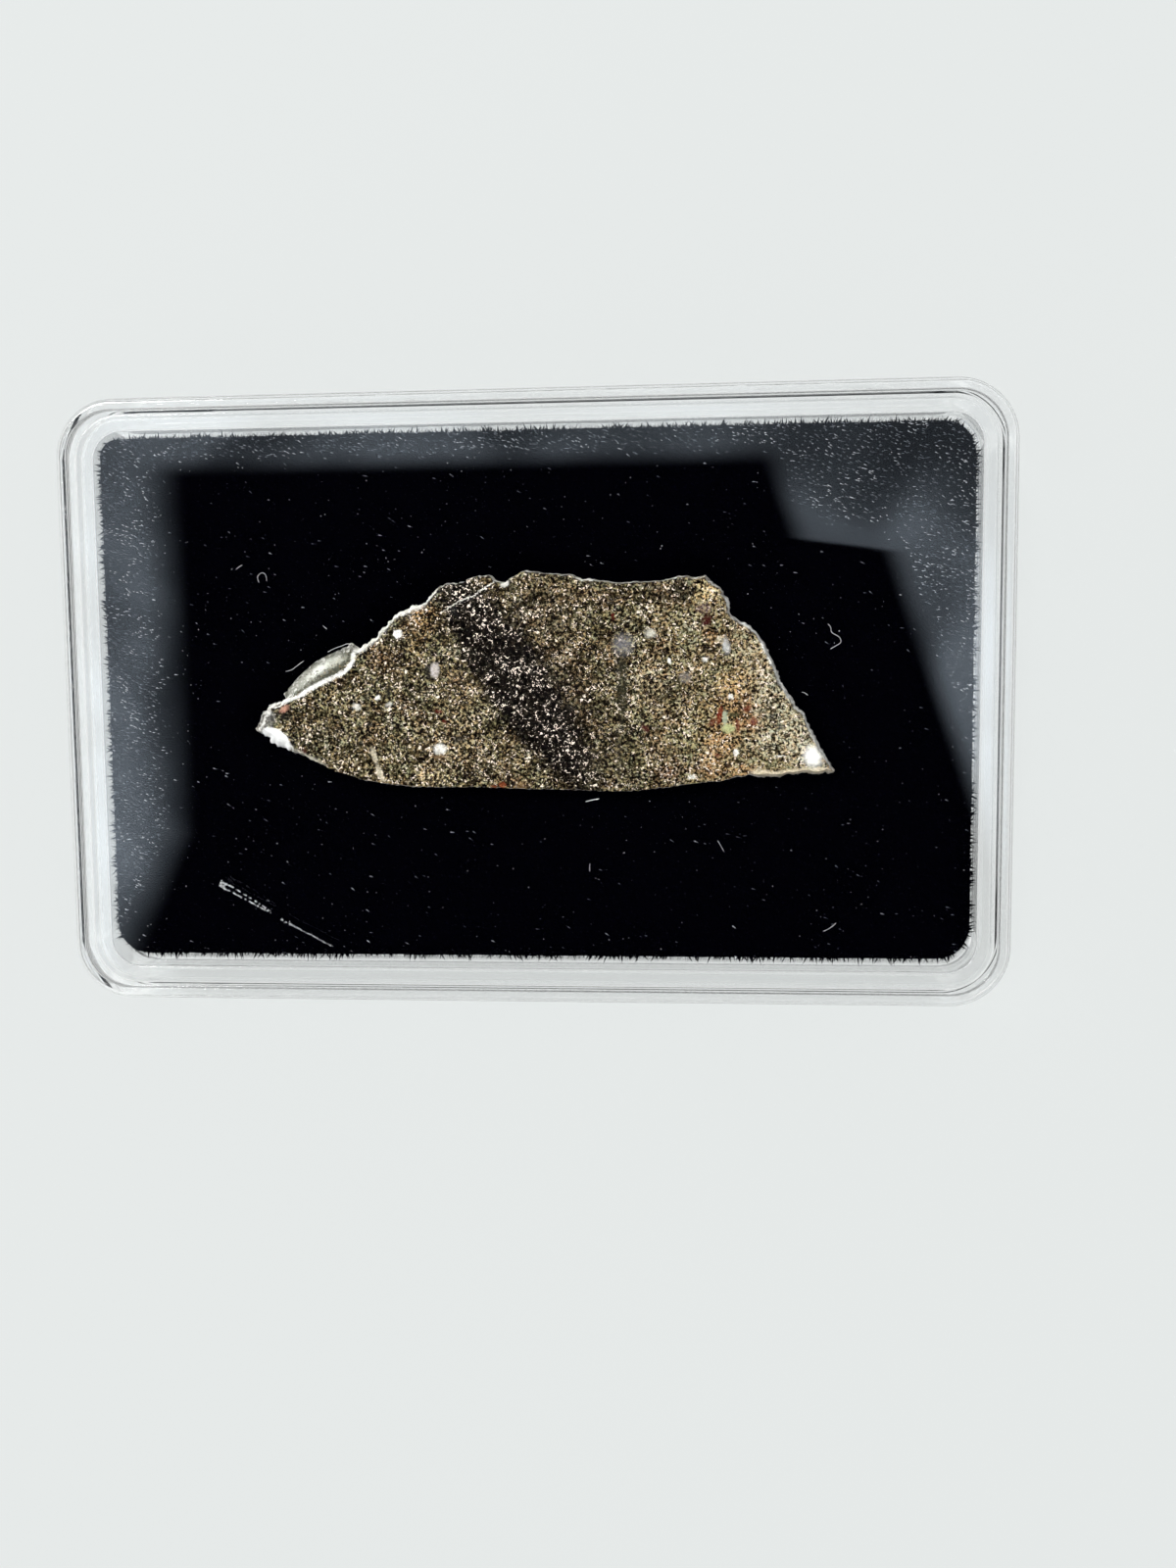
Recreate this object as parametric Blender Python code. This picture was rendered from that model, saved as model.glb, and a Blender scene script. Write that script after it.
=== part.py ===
"""A polished slice of lunar breccia on a black flocked pad in a clear two-part case.

The case lies on its back with the window up. The origin is the centre of the back face, +X runs
along the long side, +Y along the short side and +Z out through the window. Units are metres.
"""

import math

import bmesh
import bpy
from mathutils import Vector, noise

MM = 0.001

# Clear case: a lid with a window and a skirt, pressed over the upright wall of a flat base
CASE_LENGTH = 64.0 * MM
CASE_WIDTH = 41.1 * MM
CASE_DEPTH = 8.0 * MM
CORNER_RADIUS = 4.0 * MM
EDGE_RADIUS = 0.35 * MM
CORNER_STEPS = 8
EDGE_STEPS = 2
BASE_THICKNESS = 1.5 * MM
SKIRT_THICKNESS = 0.85 * MM
WINDOW_THICKNESS = 1.45 * MM
WINDOW_RIM_WIDTH = 0.8 * MM
WINDOW_RIM_HEIGHT = 0.25 * MM
WALL_THICKNESS = 0.9 * MM
GAP = 0.3 * MM
SIDE_GAP = 0.25 * MM

# Flocked foam pad, a little smaller than the pocket in the base and pushed up in it. It comes up
# to the window, and the slice is pressed into it, in a hollow with sloping sides.
PAD_LENGTH = 59.3 * MM
PAD_WIDTH = 35.9 * MM
PAD_CORNER_RADIUS = 2.2 * MM
PAD_EDGE_RADIUS = 0.3 * MM
PAD_SHIFT_Y = 0.2 * MM
HOLLOW_MARGIN = 0.6 * MM
HOLLOW_SLOPE = 0.9 * MM
HOLLOW_STRIDE = 4

# Meteorite slice
SLICE_THICKNESS = 1.6 * MM
RIM_STEP = 0.5 * MM
FRACTURE_GRAIN = 1.1 * MM
SAWN_ROUGHNESS = 0.03 * MM
BROKEN_ROUGHNESS = 0.2
NEIGHBOURS = 3
LIFT_OFFSET = Vector((9.0, 4.0, 2.0))

# Heights that follow from the sizes above
SKIRT_BOTTOM = BASE_THICKNESS + GAP
WINDOW_FRONT = CASE_DEPTH - WINDOW_RIM_HEIGHT
WINDOW_BACK = WINDOW_FRONT - WINDOW_THICKNESS
WALL_TOP = WINDOW_BACK - GAP
SLICE_TOP = WINDOW_BACK - GAP
SLICE_BOTTOM = SLICE_TOP - SLICE_THICKNESS
PAD_BOTTOM = BASE_THICKNESS + GAP
PAD_TOP = WINDOW_BACK - GAP
HOLLOW_FLOOR = SLICE_BOTTOM - GAP
OVERSHOOT = 1.0 * MM

# The slice's edge in millimetres from the middle of the case, clockwise from the left tip. Each
# point gives x, y and the width of the broken rim there, from the edge in to the polished face.
SLICE_EDGE = (
    # knob of grey crystals at the left tip
    (-19.3, -1.9, 0.8), (-18.9, -0.7, 0.7), (-18.4, -0.2, 0.6), (-17.5, -0.1, 0.4),
    # clear bevelled swelling on the upper left
    (-17.0, 0.9, 0.9), (-16.4, 1.6, 1.2), (-15.1, 2.7, 1.3), (-14.1, 3.2, 1.2),
    (-13.3, 3.5, 0.9), (-12.5, 3.9, 0.6),
    # pale broken rim that climbs to the top
    (-12.0, 3.7, 0.3), (-10.7, 4.4, 0.3), (-9.9, 5.3, 0.35), (-9.1, 6.0, 0.4),
    (-8.2, 6.5, 0.45), (-7.2, 6.8, 0.4), (-6.4, 7.7, 0.25), (-5.6, 8.0, 0.15),
    # top edge, with the nick where the crack starts
    (-4.9, 8.0, 0.12), (-3.9, 8.4, 0.12), (-2.6, 8.5, 0.12), (-2.2, 8.1, 0.12),
    (-1.7, 8.0, 0.12), (-1.0, 8.5, 0.12), (-0.3, 8.8, 0.15), (1.2, 8.6, 0.12),
    (2.7, 8.5, 0.12), (3.6, 8.2, 0.2), (5.8, 7.9, 0.12), (9.2, 8.0, 0.12),
    # tan shoulder at the top right
    (10.1, 8.3, 0.15), (11.2, 8.2, 0.2), (12.0, 8.3, 0.3), (12.3, 7.9, 0.3),
    (13.0, 7.4, 0.3), (13.5, 6.6, 0.3), (13.6, 5.7, 0.2), (14.3, 5.2, 0.2),
    # right slope down to the sharp tip
    (15.4, 4.5, 0.2), (15.9, 3.6, 0.3), (16.6, 2.0, 0.35), (17.3, 0.5, 0.35),
    (18.4, -0.9, 0.35), (19.0, -2.2, 0.35), (19.9, -3.7, 0.3), (20.6, -4.9, 0.2),
    # tan ledge under the right tip
    (20.4, -5.1, 0.3), (18.0, -5.1, 0.35), (16.5, -5.4, 0.35), (14.9, -5.2, 0.15),
    # sawn lower edge
    (12.9, -5.6, 0.1), (10.3, -5.9, 0.1), (8.0, -6.2, 0.1), (5.7, -6.3, 0.1),
    (2.8, -6.2, 0.1), (-1.1, -6.1, 0.1), (-3.6, -6.0, 0.1), (-5.9, -6.0, 0.12),
    (-8.0, -6.0, 0.12), (-10.0, -5.8, 0.12), (-11.7, -5.5, 0.12), (-13.6, -4.9, 0.1),
    (-15.0, -4.2, 0.1), (-16.4, -3.6, 0.3),
    # white chipped facet under the left tip
    (-16.9, -3.4, 0.8), (-18.1, -2.7, 0.8),
)

# The slice's side from the sawn back up: height as a share of the thickness, a fixed inset in
# metres, and how much of the rim's width the side has come in by there
SLICE_SIDE = (
    (0.0, 0.16 * MM, 0.0),
    (0.2, 0.04 * MM, 0.0),
    (0.45, 0.0, 0.0),
    (0.78, 0.0, 0.4),
    (1.0, 0.0, 1.0),
)


def clear_scene():
    for obj in list(bpy.data.objects):
        bpy.data.objects.remove(obj, do_unlink=True)


def new_collection(name):
    collection = bpy.data.collections.new(name)
    bpy.context.scene.collection.children.link(collection)
    return collection


def make_material(name, color, roughness, transmission=0.0, ior=1.5):
    material = bpy.data.materials.new(name)
    material.use_nodes = True
    shader = material.node_tree.nodes["Principled BSDF"]
    shader.inputs["Base Color"].default_value = (*color, 1.0)
    shader.inputs["Roughness"].default_value = roughness
    shader.inputs["Metallic"].default_value = 0.0
    shader.inputs["Transmission Weight"].default_value = transmission
    shader.inputs["IOR"].default_value = ior
    return material


def finish_mesh(bm, name):
    """Turn a bmesh into an object with its faces pointing out."""
    bmesh.ops.recalc_face_normals(bm, faces=bm.faces)
    mesh = bpy.data.meshes.new(name)
    bm.to_mesh(mesh)
    bm.free()
    return bpy.data.objects.new(name, mesh)


def rounded_box(name, length, width, bottom, top, radius, round_at=None, edge_radius=0.0):
    """A box with round upright corners. round_at is the height of a rim that is rounded too."""
    bm = bmesh.new()
    bmesh.ops.create_cube(bm, size=1.0)
    bmesh.ops.scale(bm, vec=(length, width, top - bottom), verts=bm.verts)
    bmesh.ops.translate(bm, vec=(0.0, 0.0, (top + bottom) / 2), verts=bm.verts)
    upright = [e for e in bm.edges if e.verts[0].co.xy == e.verts[1].co.xy]
    bmesh.ops.bevel(
        bm, geom=upright, offset=radius, segments=CORNER_STEPS, profile=0.5, affect="EDGES"
    )
    if round_at is not None:
        tolerance = 0.01 * MM
        rim = [e for e in bm.edges if all(abs(v.co.z - round_at) < tolerance for v in e.verts)]
        bmesh.ops.bevel(
            bm, geom=rim, offset=edge_radius, segments=EDGE_STEPS, profile=0.5, affect="EDGES"
        )
    return finish_mesh(bm, name)


def place(obj, collection, parent, material):
    """Put a finished piece in the model."""
    collection.objects.link(obj)
    obj.parent = parent
    obj.data.materials.append(material)


def smooth_corners(obj):
    """Shade the moulded corners round and leave the true edges sharp."""
    obj.data.shade_smooth()
    obj.data.set_sharp_from_angle(angle=math.radians(35))


def boolean(obj, other, operation, cutters):
    """Cut obj by other, or join other to it, with a live modifier."""
    cutters.objects.link(other)
    other.hide_render = True
    other.display_type = "WIRE"
    modifier = obj.modifiers.new(other.name, "BOOLEAN")
    modifier.object = other
    modifier.operation = operation
    modifier.solver = "EXACT"


def make_lid(parts, cutters, parent, material):
    """Window plate with a raised rim in front and a skirt that reaches down to the base."""
    lid = rounded_box(
        "case_lid", CASE_LENGTH, CASE_WIDTH, SKIRT_BOTTOM, CASE_DEPTH, CORNER_RADIUS,
        round_at=CASE_DEPTH, edge_radius=EDGE_RADIUS,
    )
    place(lid, parts, parent, material)
    smooth_corners(lid)
    cavity = rounded_box(
        "lid_cavity", CASE_LENGTH - 2 * SKIRT_THICKNESS, CASE_WIDTH - 2 * SKIRT_THICKNESS,
        SKIRT_BOTTOM - OVERSHOOT, WINDOW_BACK, CORNER_RADIUS - SKIRT_THICKNESS,
    )
    boolean(lid, cavity, "DIFFERENCE", cutters)
    recess = rounded_box(
        "window_recess", CASE_LENGTH - 2 * WINDOW_RIM_WIDTH, CASE_WIDTH - 2 * WINDOW_RIM_WIDTH,
        WINDOW_FRONT, CASE_DEPTH + OVERSHOOT, CORNER_RADIUS - WINDOW_RIM_WIDTH,
    )
    boolean(lid, recess, "DIFFERENCE", cutters)


def make_base(parts, cutters, parent, material):
    """Flat back plate with an upright wall that fits inside the skirt and holds the pad."""
    base = rounded_box(
        "case_base", CASE_LENGTH, CASE_WIDTH, 0.0, BASE_THICKNESS, CORNER_RADIUS,
        round_at=0.0, edge_radius=EDGE_RADIUS,
    )
    place(base, parts, parent, material)
    smooth_corners(base)
    wall_offset = SKIRT_THICKNESS + SIDE_GAP
    wall = rounded_box(
        "base_wall", CASE_LENGTH - 2 * wall_offset, CASE_WIDTH - 2 * wall_offset,
        BASE_THICKNESS / 2, WALL_TOP, CORNER_RADIUS - wall_offset,
    )
    boolean(base, wall, "UNION", cutters)
    pocket_offset = wall_offset + WALL_THICKNESS
    pocket = rounded_box(
        "pad_pocket", CASE_LENGTH - 2 * pocket_offset, CASE_WIDTH - 2 * pocket_offset,
        BASE_THICKNESS, WALL_TOP + OVERSHOOT, CORNER_RADIUS - pocket_offset,
    )
    boolean(base, pocket, "DIFFERENCE", cutters)


def edge_points():
    """The slice's edge in even steps, as positions in metres and rim widths in metres."""
    points = []
    rims = []
    for start, end in zip(SLICE_EDGE, SLICE_EDGE[1:] + SLICE_EDGE[:1]):
        run = Vector(end) - Vector(start)
        steps = max(1, round(run.xy.length * MM / RIM_STEP))
        for step in range(steps):
            x, y, rim = Vector(start) + run * (step / steps)
            points.append(Vector((x, y)) * MM)
            rims.append(rim * MM)
    return points, rims


def inward_directions(points, neighbours):
    """Unit vectors that point into a clockwise outline, each read from a few neighbours."""
    count = len(points)
    inward = []
    for i in range(count):
        along = points[(i + neighbours) % count] - points[i - neighbours]
        inward.append(Vector((along.y, -along.x)).normalized())
    return inward


def loft(name, rings):
    """A closed solid through rings of points that match one to one."""
    bm = bmesh.new()
    loops = [[bm.verts.new(point) for point in ring] for ring in rings]
    for low, high in zip(loops, loops[1:]):
        for i in range(len(low)):
            bm.faces.new((low[i - 1], low[i], high[i], high[i - 1]))
    bm.faces.new(loops[0])
    bm.faces.new(loops[-1])
    return finish_mesh(bm, name)


def make_slice(parts, parent, material):
    """Loft from the sawn back, over the broken side, to the polished face."""
    points, rims = edge_points()
    inward = inward_directions(points, NEIGHBOURS)
    rings = []
    last = len(SLICE_SIDE) - 1
    for level, (share, inset, rim_share) in enumerate(SLICE_SIDE):
        height = share * SLICE_THICKNESS
        ring = []
        for point, direction, rim in zip(points, inward, rims):
            grain = Vector((point.x, point.y, height)) / FRACTURE_GRAIN
            roughness = SAWN_ROUGHNESS + BROKEN_ROUGHNESS * rim
            rough = noise.noise(grain) * roughness
            spot = point + direction * (inset + rim_share * rim + rough)
            lift = 0.0
            if 0 < level < last:
                lift = noise.noise(grain + LIFT_OFFSET) * roughness
            ring.append((spot.x, spot.y, height + lift))
        rings.append(ring)
    rock = loft("meteorite_slice", rings)
    place(rock, parts, parent, material)
    rock.location.z = SLICE_BOTTOM


def make_pad(parts, cutters, parent, material):
    """Soft black pad in the pocket of the base, with a rounded edge and a hollow for the slice."""
    pad = rounded_box(
        "backing_pad", PAD_LENGTH, PAD_WIDTH, PAD_BOTTOM, PAD_TOP, PAD_CORNER_RADIUS,
        round_at=PAD_TOP, edge_radius=PAD_EDGE_RADIUS,
    )
    place(pad, parts, parent, material)
    smooth_corners(pad)
    pad.location.y = PAD_SHIFT_Y
    points = edge_points()[0][::HOLLOW_STRIDE]
    inward = inward_directions(points, 1)
    slope = HOLLOW_SLOPE / (PAD_TOP - HOLLOW_FLOOR)
    rings = []
    for height in (HOLLOW_FLOOR, PAD_TOP + OVERSHOOT):
        margin = HOLLOW_MARGIN + slope * (height - HOLLOW_FLOOR)
        spots = [point - direction * margin for point, direction in zip(points, inward)]
        rings.append([(spot.x, spot.y, height) for spot in spots])
    boolean(pad, loft("slice_hollow", rings), "DIFFERENCE", cutters)


def main():
    clear_scene()
    parts = new_collection("lunar_meteorite_slice")
    cutters = new_collection("cutters")
    case = bpy.data.objects.new("specimen_case", None)
    parts.objects.link(case)
    clear_plastic = make_material(
        "clear_plastic", (0.96, 0.97, 0.97), 0.03, transmission=1.0, ior=1.49
    )
    black_flock = make_material("black_flock", (0.006, 0.006, 0.008), 0.95)
    lunar_breccia = make_material("lunar_breccia", (0.17, 0.155, 0.12), 0.35)
    make_base(parts, cutters, case, clear_plastic)
    make_lid(parts, cutters, case, clear_plastic)
    make_pad(parts, cutters, case, black_flock)
    make_slice(parts, case, lunar_breccia)


main()
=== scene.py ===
# %% [markdown]
# # A lunar meteorite slice in its display case
#
# This lesson dresses a small CAD model: a thin, polished slice of lunar breccia that lies on a
# black flocked pad in a flat clear plastic case. The case lies on its back and the camera looks
# down through the window. Four things carry the look: clear plastic whose thin edges draw lines,
# a pad that swallows light, a bright speckled rock, and the soft shine of the room in the window.

import math
import random

import bmesh
import bpy
import numpy as np
from mathutils import Matrix, Vector, noise
from mathutils.geometry import delaunay_2d_cdt


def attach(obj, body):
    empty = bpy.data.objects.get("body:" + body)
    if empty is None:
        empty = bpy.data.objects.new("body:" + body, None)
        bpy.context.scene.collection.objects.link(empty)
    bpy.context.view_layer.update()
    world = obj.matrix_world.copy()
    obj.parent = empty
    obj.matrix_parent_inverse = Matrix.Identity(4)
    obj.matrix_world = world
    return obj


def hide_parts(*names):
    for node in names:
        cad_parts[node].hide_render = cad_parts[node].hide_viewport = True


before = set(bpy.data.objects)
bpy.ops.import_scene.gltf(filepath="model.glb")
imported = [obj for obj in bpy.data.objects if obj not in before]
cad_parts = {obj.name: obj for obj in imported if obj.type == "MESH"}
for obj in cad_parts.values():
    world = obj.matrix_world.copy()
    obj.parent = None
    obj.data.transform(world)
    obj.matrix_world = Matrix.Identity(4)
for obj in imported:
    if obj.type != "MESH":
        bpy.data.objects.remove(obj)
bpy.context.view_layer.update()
MM = 0.001

# %% [markdown]
# ## The camera
# The picture was taken by hand, from about nine centimetres over the case, with a wide lens. So
# the case shows a little more of its left and upper walls. A camera can be placed by aiming it at
# a target, but a hand also rolls a little, so the three axes of the camera are written out here.

# %% Camera
CAMERA_PLACE = (11.679, 2.539, 99.204)
CAMERA_RIGHT = Vector((0.99654, -0.00944, -0.08262))
CAMERA_UP = Vector((0.00207, 0.99603, -0.08895))
CAMERA_LENS = 31.5


def make_camera():
    data = bpy.data.cameras.new("camera")
    data.lens = CAMERA_LENS
    data.sensor_width = 36.0
    data.clip_start = 0.001
    data.clip_end = 10.0
    camera = bpy.data.objects.new("camera", data)
    bpy.context.scene.collection.objects.link(camera)
    back = CAMERA_RIGHT.cross(CAMERA_UP).normalized()
    up = back.cross(CAMERA_RIGHT).normalized()
    turn = Matrix((CAMERA_RIGHT.normalized(), up, back)).transposed()
    camera.matrix_world = Matrix.Translation(Vector(CAMERA_PLACE) * MM) @ turn.to_4x4()
    bpy.context.scene.camera = camera
    return camera


camera = make_camera()
print("camera at", CAMERA_PLACE, "mm, lens", CAMERA_LENS, "mm")

# %% [markdown]
# ## Helpers for node trees
# A material is a small program made of nodes. Writing each node with its links takes four or five
# lines, so a few helpers keep the recipes short: `add` places any node, and the others wrap the
# nodes that every recipe here uses. Positions are handled in millimetres, because the grains of
# the rock and the fibres of the pad are a tenth of a millimetre across.

# %% Node helpers
def add(tree, kind, options=None, sockets=None):
    """Add a node, set its options, and give each socket a value or a link."""
    node = tree.nodes.new(kind)
    for name, value in (options or {}).items():
        setattr(node, name, value)
    for key, value in (sockets or {}).items():
        if isinstance(value, bpy.types.NodeSocket):
            tree.links.new(value, node.inputs[key])
        else:
            node.inputs[key].default_value = value
    return node


def math_of(tree, operation, a, b=0.0, clamp=False):
    node = add(tree, "ShaderNodeMath", {"operation": operation, "use_clamp": clamp}, {0: a, 1: b})
    return node.outputs[0]


def step_of(tree, value, low, high, to_low=0.0, to_high=1.0):
    """A smooth step from one value to another."""
    node = add(
        tree, "ShaderNodeMapRange", {"interpolation_type": "SMOOTHSTEP"},
        {0: value, 1: low, 2: high, 3: to_low, 4: to_high},
    )
    return node.outputs[0]


def noise_of(tree, place, scale, detail=2.0, rough=0.5, warp=0.0):
    node = add(
        tree, "ShaderNodeTexNoise", None,
        {"Vector": place, "Scale": scale, "Detail": detail, "Roughness": rough,
         "Distortion": warp},
    )
    return node.outputs["Fac"]


def mix_of(tree, factor, a, b, blend="MIX"):
    """Blend two colours. A plain colour is given as three numbers."""
    a, b = [(*c, 1.0) if isinstance(c, tuple) else c for c in (a, b)]
    node = add(
        tree, "ShaderNodeMix", {"data_type": "RGBA", "blend_type": blend},
        {0: factor, 6: a, 7: b},
    )
    return node.outputs[2]


def ramp_of(tree, value, stops):
    """Colours along a value: each stop is (position, (r, g, b))."""
    node = add(tree, "ShaderNodeValToRGB", None, {0: value})
    elements = node.color_ramp.elements
    while len(elements) < len(stops):
        elements.new(0.5)
    for element, (position, color) in zip(elements, stops):
        element.position = position
        element.color = (*color, 1.0)
    return node.outputs[0]


def new_material(name):
    """A material with its shader, and the position on the piece in millimetres."""
    material = bpy.data.materials.new(name)
    material.use_nodes = True
    tree = material.node_tree
    shader = tree.nodes["Principled BSDF"]
    place = add(tree, "ShaderNodeTexCoord").outputs["Object"]
    place = add(
        tree, "ShaderNodeVectorMath", {"operation": "SCALE"}, {0: place, "Scale": 1.0 / MM}
    ).outputs[0]
    return material, tree, shader, place


def bump_of(tree, height, strength, distance):
    """Relief in the shading. The distance is in metres."""
    node = add(
        tree, "ShaderNodeBump", None,
        {"Height": height, "Strength": strength, "Distance": distance},
    )
    return node.outputs[0]


print("node helpers ready")

# %% [markdown]
# ## Floor and light
# The floor is plain and pale. The light is a white room all round, which is how small glossy
# things are usually lit, with one gap in it straight above: there the window mirrors darkness, so
# that one sees through it to the black pad and the stone. Towards the window's left, upper and
# right edges the gap ends, and the room lies over the black as a soft blue-grey veil. The gap is
# drawn on the world in two slopes, `across` and `along`: how far a direction leans from straight
# up, to the right and to the top. A soft lamp from the upper left draws the highlights.

# %% Floor
FLOOR_SIZE = 6.0
FLOOR_COLOR = (0.080, 0.082, 0.081)
FLOOR_GLOW = (0.670, 0.695, 0.690, 1.0)


def make_floor():
    bm = bmesh.new()
    bmesh.ops.create_grid(bm, x_segments=1, y_segments=1, size=FLOOR_SIZE / 2)
    mesh = bpy.data.meshes.new("floor")
    bm.to_mesh(mesh)
    bm.free()
    mesh.transform(Matrix.Translation((0.0, 0.0, -0.05 * MM)))
    floor = bpy.data.objects.new("floor", mesh)
    bpy.context.scene.collection.objects.link(floor)
    material, tree, shader, place = new_material("pale_floor")
    tint = noise_of(tree, place, 0.01, 3.0)
    darker = tuple(c * 0.985 for c in FLOOR_COLOR)
    tree.links.new(mix_of(tree, tint, FLOOR_COLOR, darker), shader.inputs["Base Color"])
    shader.inputs["Roughness"].default_value = 0.9
    shader.inputs["Specular IOR Level"].default_value = 0.1
    shader.inputs["Emission Color"].default_value = FLOOR_GLOW
    shader.inputs["Emission Strength"].default_value = 1.0
    mesh.materials.append(material)
    return floor


floor = make_floor()

# %% World and lamp
ROOM_COLOR = (2.00, 2.02, 2.00)
FAR_COLOR = (1.00, 1.02, 1.01)
VEIL_COLOR = (1.24, 1.46, 1.70)
GAP_COLOR = (0.001, 0.001, 0.005)
LAMP_PLACE = (-210.0, 170.0, 330.0)
LAMP_SIZE = 130.0
LAMP_POWER = 0.8


def make_world():
    world = bpy.data.worlds.new("white_room")
    bpy.context.scene.world = world
    world.use_nodes = True
    tree = world.node_tree
    direction = add(tree, "ShaderNodeTexCoord").outputs["Generated"]
    parts = add(tree, "ShaderNodeSeparateXYZ", None, {0: direction})
    height = math_of(tree, "MAXIMUM", parts.outputs["Z"], 0.05)
    across = math_of(tree, "DIVIDE", parts.outputs["X"], height)
    along = math_of(tree, "DIVIDE", parts.outputs["Y"], height)

    low = math_of(tree, "MAXIMUM", math_of(tree, "SUBTRACT", -0.126, along), 0.0)
    left_edge = math_of(tree, "ADD", across, math_of(tree, "MULTIPLY", low, 0.47))
    left = step_of(tree, left_edge, -0.426, -0.378)
    lean = math_of(tree, "MULTIPLY", math_of(tree, "SUBTRACT", 0.17, along), 0.346)
    high = step_of(tree, along, 0.075, 0.088, 0.0, 0.062)
    lean = math_of(tree, "SUBTRACT", lean, high)
    right = step_of(tree, math_of(tree, "SUBTRACT", across, lean), 0.092, 0.116, 1.0, 0.0)
    top = step_of(tree, along, 0.138, 0.156, 1.0, 0.0)
    gap = math_of(tree, "MULTIPLY", math_of(tree, "MULTIPLY", left, right), top)
    below = step_of(tree, along, -0.75, -0.55)
    gap = math_of(tree, "MULTIPLY", gap, below)

    slopes = add(tree, "ShaderNodeCombineXYZ", None, {0: across, 1: along}).outputs[0]
    cloud = noise_of(tree, slopes, 8.0, 1.0, 0.5, 0.8)
    cloud = step_of(tree, cloud, 0.3, 0.75, 0.40, 1.40)
    side = math_of(tree, "MULTIPLY", step_of(tree, across, -0.2, 0.15, 1.0, 0.72),
                   step_of(tree, along, 0.09, 0.15, 1.0, 0.55))
    veil = mix_of(tree, 1.0, VEIL_COLOR, math_of(tree, "MULTIPLY", cloud, side), "MULTIPLY")
    wide = math_of(tree, "ABSOLUTE", math_of(tree, "ADD", across, 0.128))
    tall = math_of(tree, "ABSOLUTE", math_of(tree, "ADD", along, 0.028))
    outside = math_of(tree, "MAXIMUM", math_of(tree, "SUBTRACT", wide, 0.341),
                      math_of(tree, "SUBTRACT", tall, 0.216))
    far = mix_of(tree, step_of(tree, outside, 0.3, 0.8), ROOM_COLOR, FAR_COLOR)
    room = mix_of(tree, step_of(tree, outside, 0.0, 0.03), veil, far)
    sky = mix_of(tree, gap, room, GAP_COLOR)
    tree.links.new(sky, tree.nodes["Background"].inputs["Color"])


def make_lamp():
    data = bpy.data.lights.new("soft_lamp", "AREA")
    data.shape = "DISK"
    data.size = LAMP_SIZE * MM
    data.energy = LAMP_POWER
    lamp = bpy.data.objects.new("soft_lamp", data)
    bpy.context.scene.collection.objects.link(lamp)
    lamp.location = Vector(LAMP_PLACE) * MM
    lamp.rotation_euler = lamp.location.to_track_quat("Z", "Y").to_euler()


make_world()
make_lamp()
bpy.context.scene.view_settings.view_transform = "Standard"
print("room, gap and lamp in place")

# %% [markdown]
# ## Mesh helpers
# A moulded case is the same cross-section all the way round a rounded rectangle. So its shape is
# written as a path of corners, each given as (inset from the outer edge, height), and each corner
# is rounded by its own radius: sharp plastic edges would catch no light. The rounded path is then
# carried round the rectangle, ring by ring. A guard point just beside each rounding keeps the
# flat faces flat when the shading is smoothed.

# %% Mesh helpers
CORNER_STEPS = 24
GUARD = 0.04


def rounded_path(corners, steps=5):
    """Round a path of (inset, height, radius) corners, with guard points beside each arc."""
    path = [Vector(corners[0][:2])]
    for before, corner, after in zip(corners, corners[1:], corners[2:]):
        middle = Vector(corner[:2])
        radius = corner[2]
        come = (middle - Vector(before[:2])).normalized()
        leave = (Vector(after[:2]) - middle).normalized()
        reach = radius * math.tan(come.angle(leave) / 2)
        path.append(middle - come * (reach + GUARD))
        start = middle - come * reach
        end = middle + leave * reach
        inward = (end - start) - come * (end - start).dot(come)
        centre = start + inward.normalized() * radius
        sweep = come.angle(leave)
        for step in range(steps + 1):
            angle = sweep * step / steps
            path.append(
                centre - inward.normalized() * radius * math.cos(angle)
                + come * radius * math.sin(angle)
            )
        path.append(middle + leave * (reach + GUARD))
    path.append(Vector(corners[-1][:2]))
    return path


def rounded_ring(length, width, radius, inset, height):
    """Points round a rounded rectangle, counter-clockwise seen from above."""
    bend = radius - inset
    ring = []
    for quarter, (sx, sy) in enumerate(((1, 1), (-1, 1), (-1, -1), (1, -1))):
        centre = Vector((sx * (length / 2 - radius), sy * (width / 2 - radius)))
        for step in range(CORNER_STEPS + 1):
            angle = math.pi / 2 * (quarter + step / CORNER_STEPS)
            ring.append((
                centre.x + bend * math.cos(angle), centre.y + bend * math.sin(angle), height
            ))
    return ring


def make_object(name, points, faces, material):
    """A linked object from points in millimetres."""
    mesh = bpy.data.meshes.new(name)
    mesh.from_pydata([tuple(c * MM for c in point) for point in points], [], faces)
    mesh.validate()
    bm = bmesh.new()
    bm.from_mesh(mesh)
    bmesh.ops.recalc_face_normals(bm, faces=bm.faces)
    bm.to_mesh(mesh)
    bm.free()
    mesh.materials.append(material)
    piece = bpy.data.objects.new(name, mesh)
    bpy.context.scene.collection.objects.link(piece)
    return piece


def ring_faces(rings, size):
    """Quads between rings of the same size, numbered one after the other."""
    faces = []
    for low in range(rings - 1):
        for i in range(size):
            j = (i + 1) % size
            faces.append((
                low * size + i, low * size + j, (low + 1) * size + j, (low + 1) * size + i
            ))
    return faces


def moulded_shell(name, corners, length, width, radius, material):
    """Carry a cross-section round a rounded rectangle and close it with two flat faces."""
    path = rounded_path(corners)
    points = []
    for inset, height in path:
        points += rounded_ring(length, width, radius, inset, height)
    size = 4 * (CORNER_STEPS + 1)
    faces = ring_faces(len(path), size)
    faces.append(tuple(range(size)))
    faces.append(tuple(range(len(points) - size, len(points))))
    piece = make_object(name, points, faces, material)
    piece.data.shade_smooth()
    piece.data.set_sharp_from_angle(angle=math.radians(40))
    return piece


print("mesh helpers ready")

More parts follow.
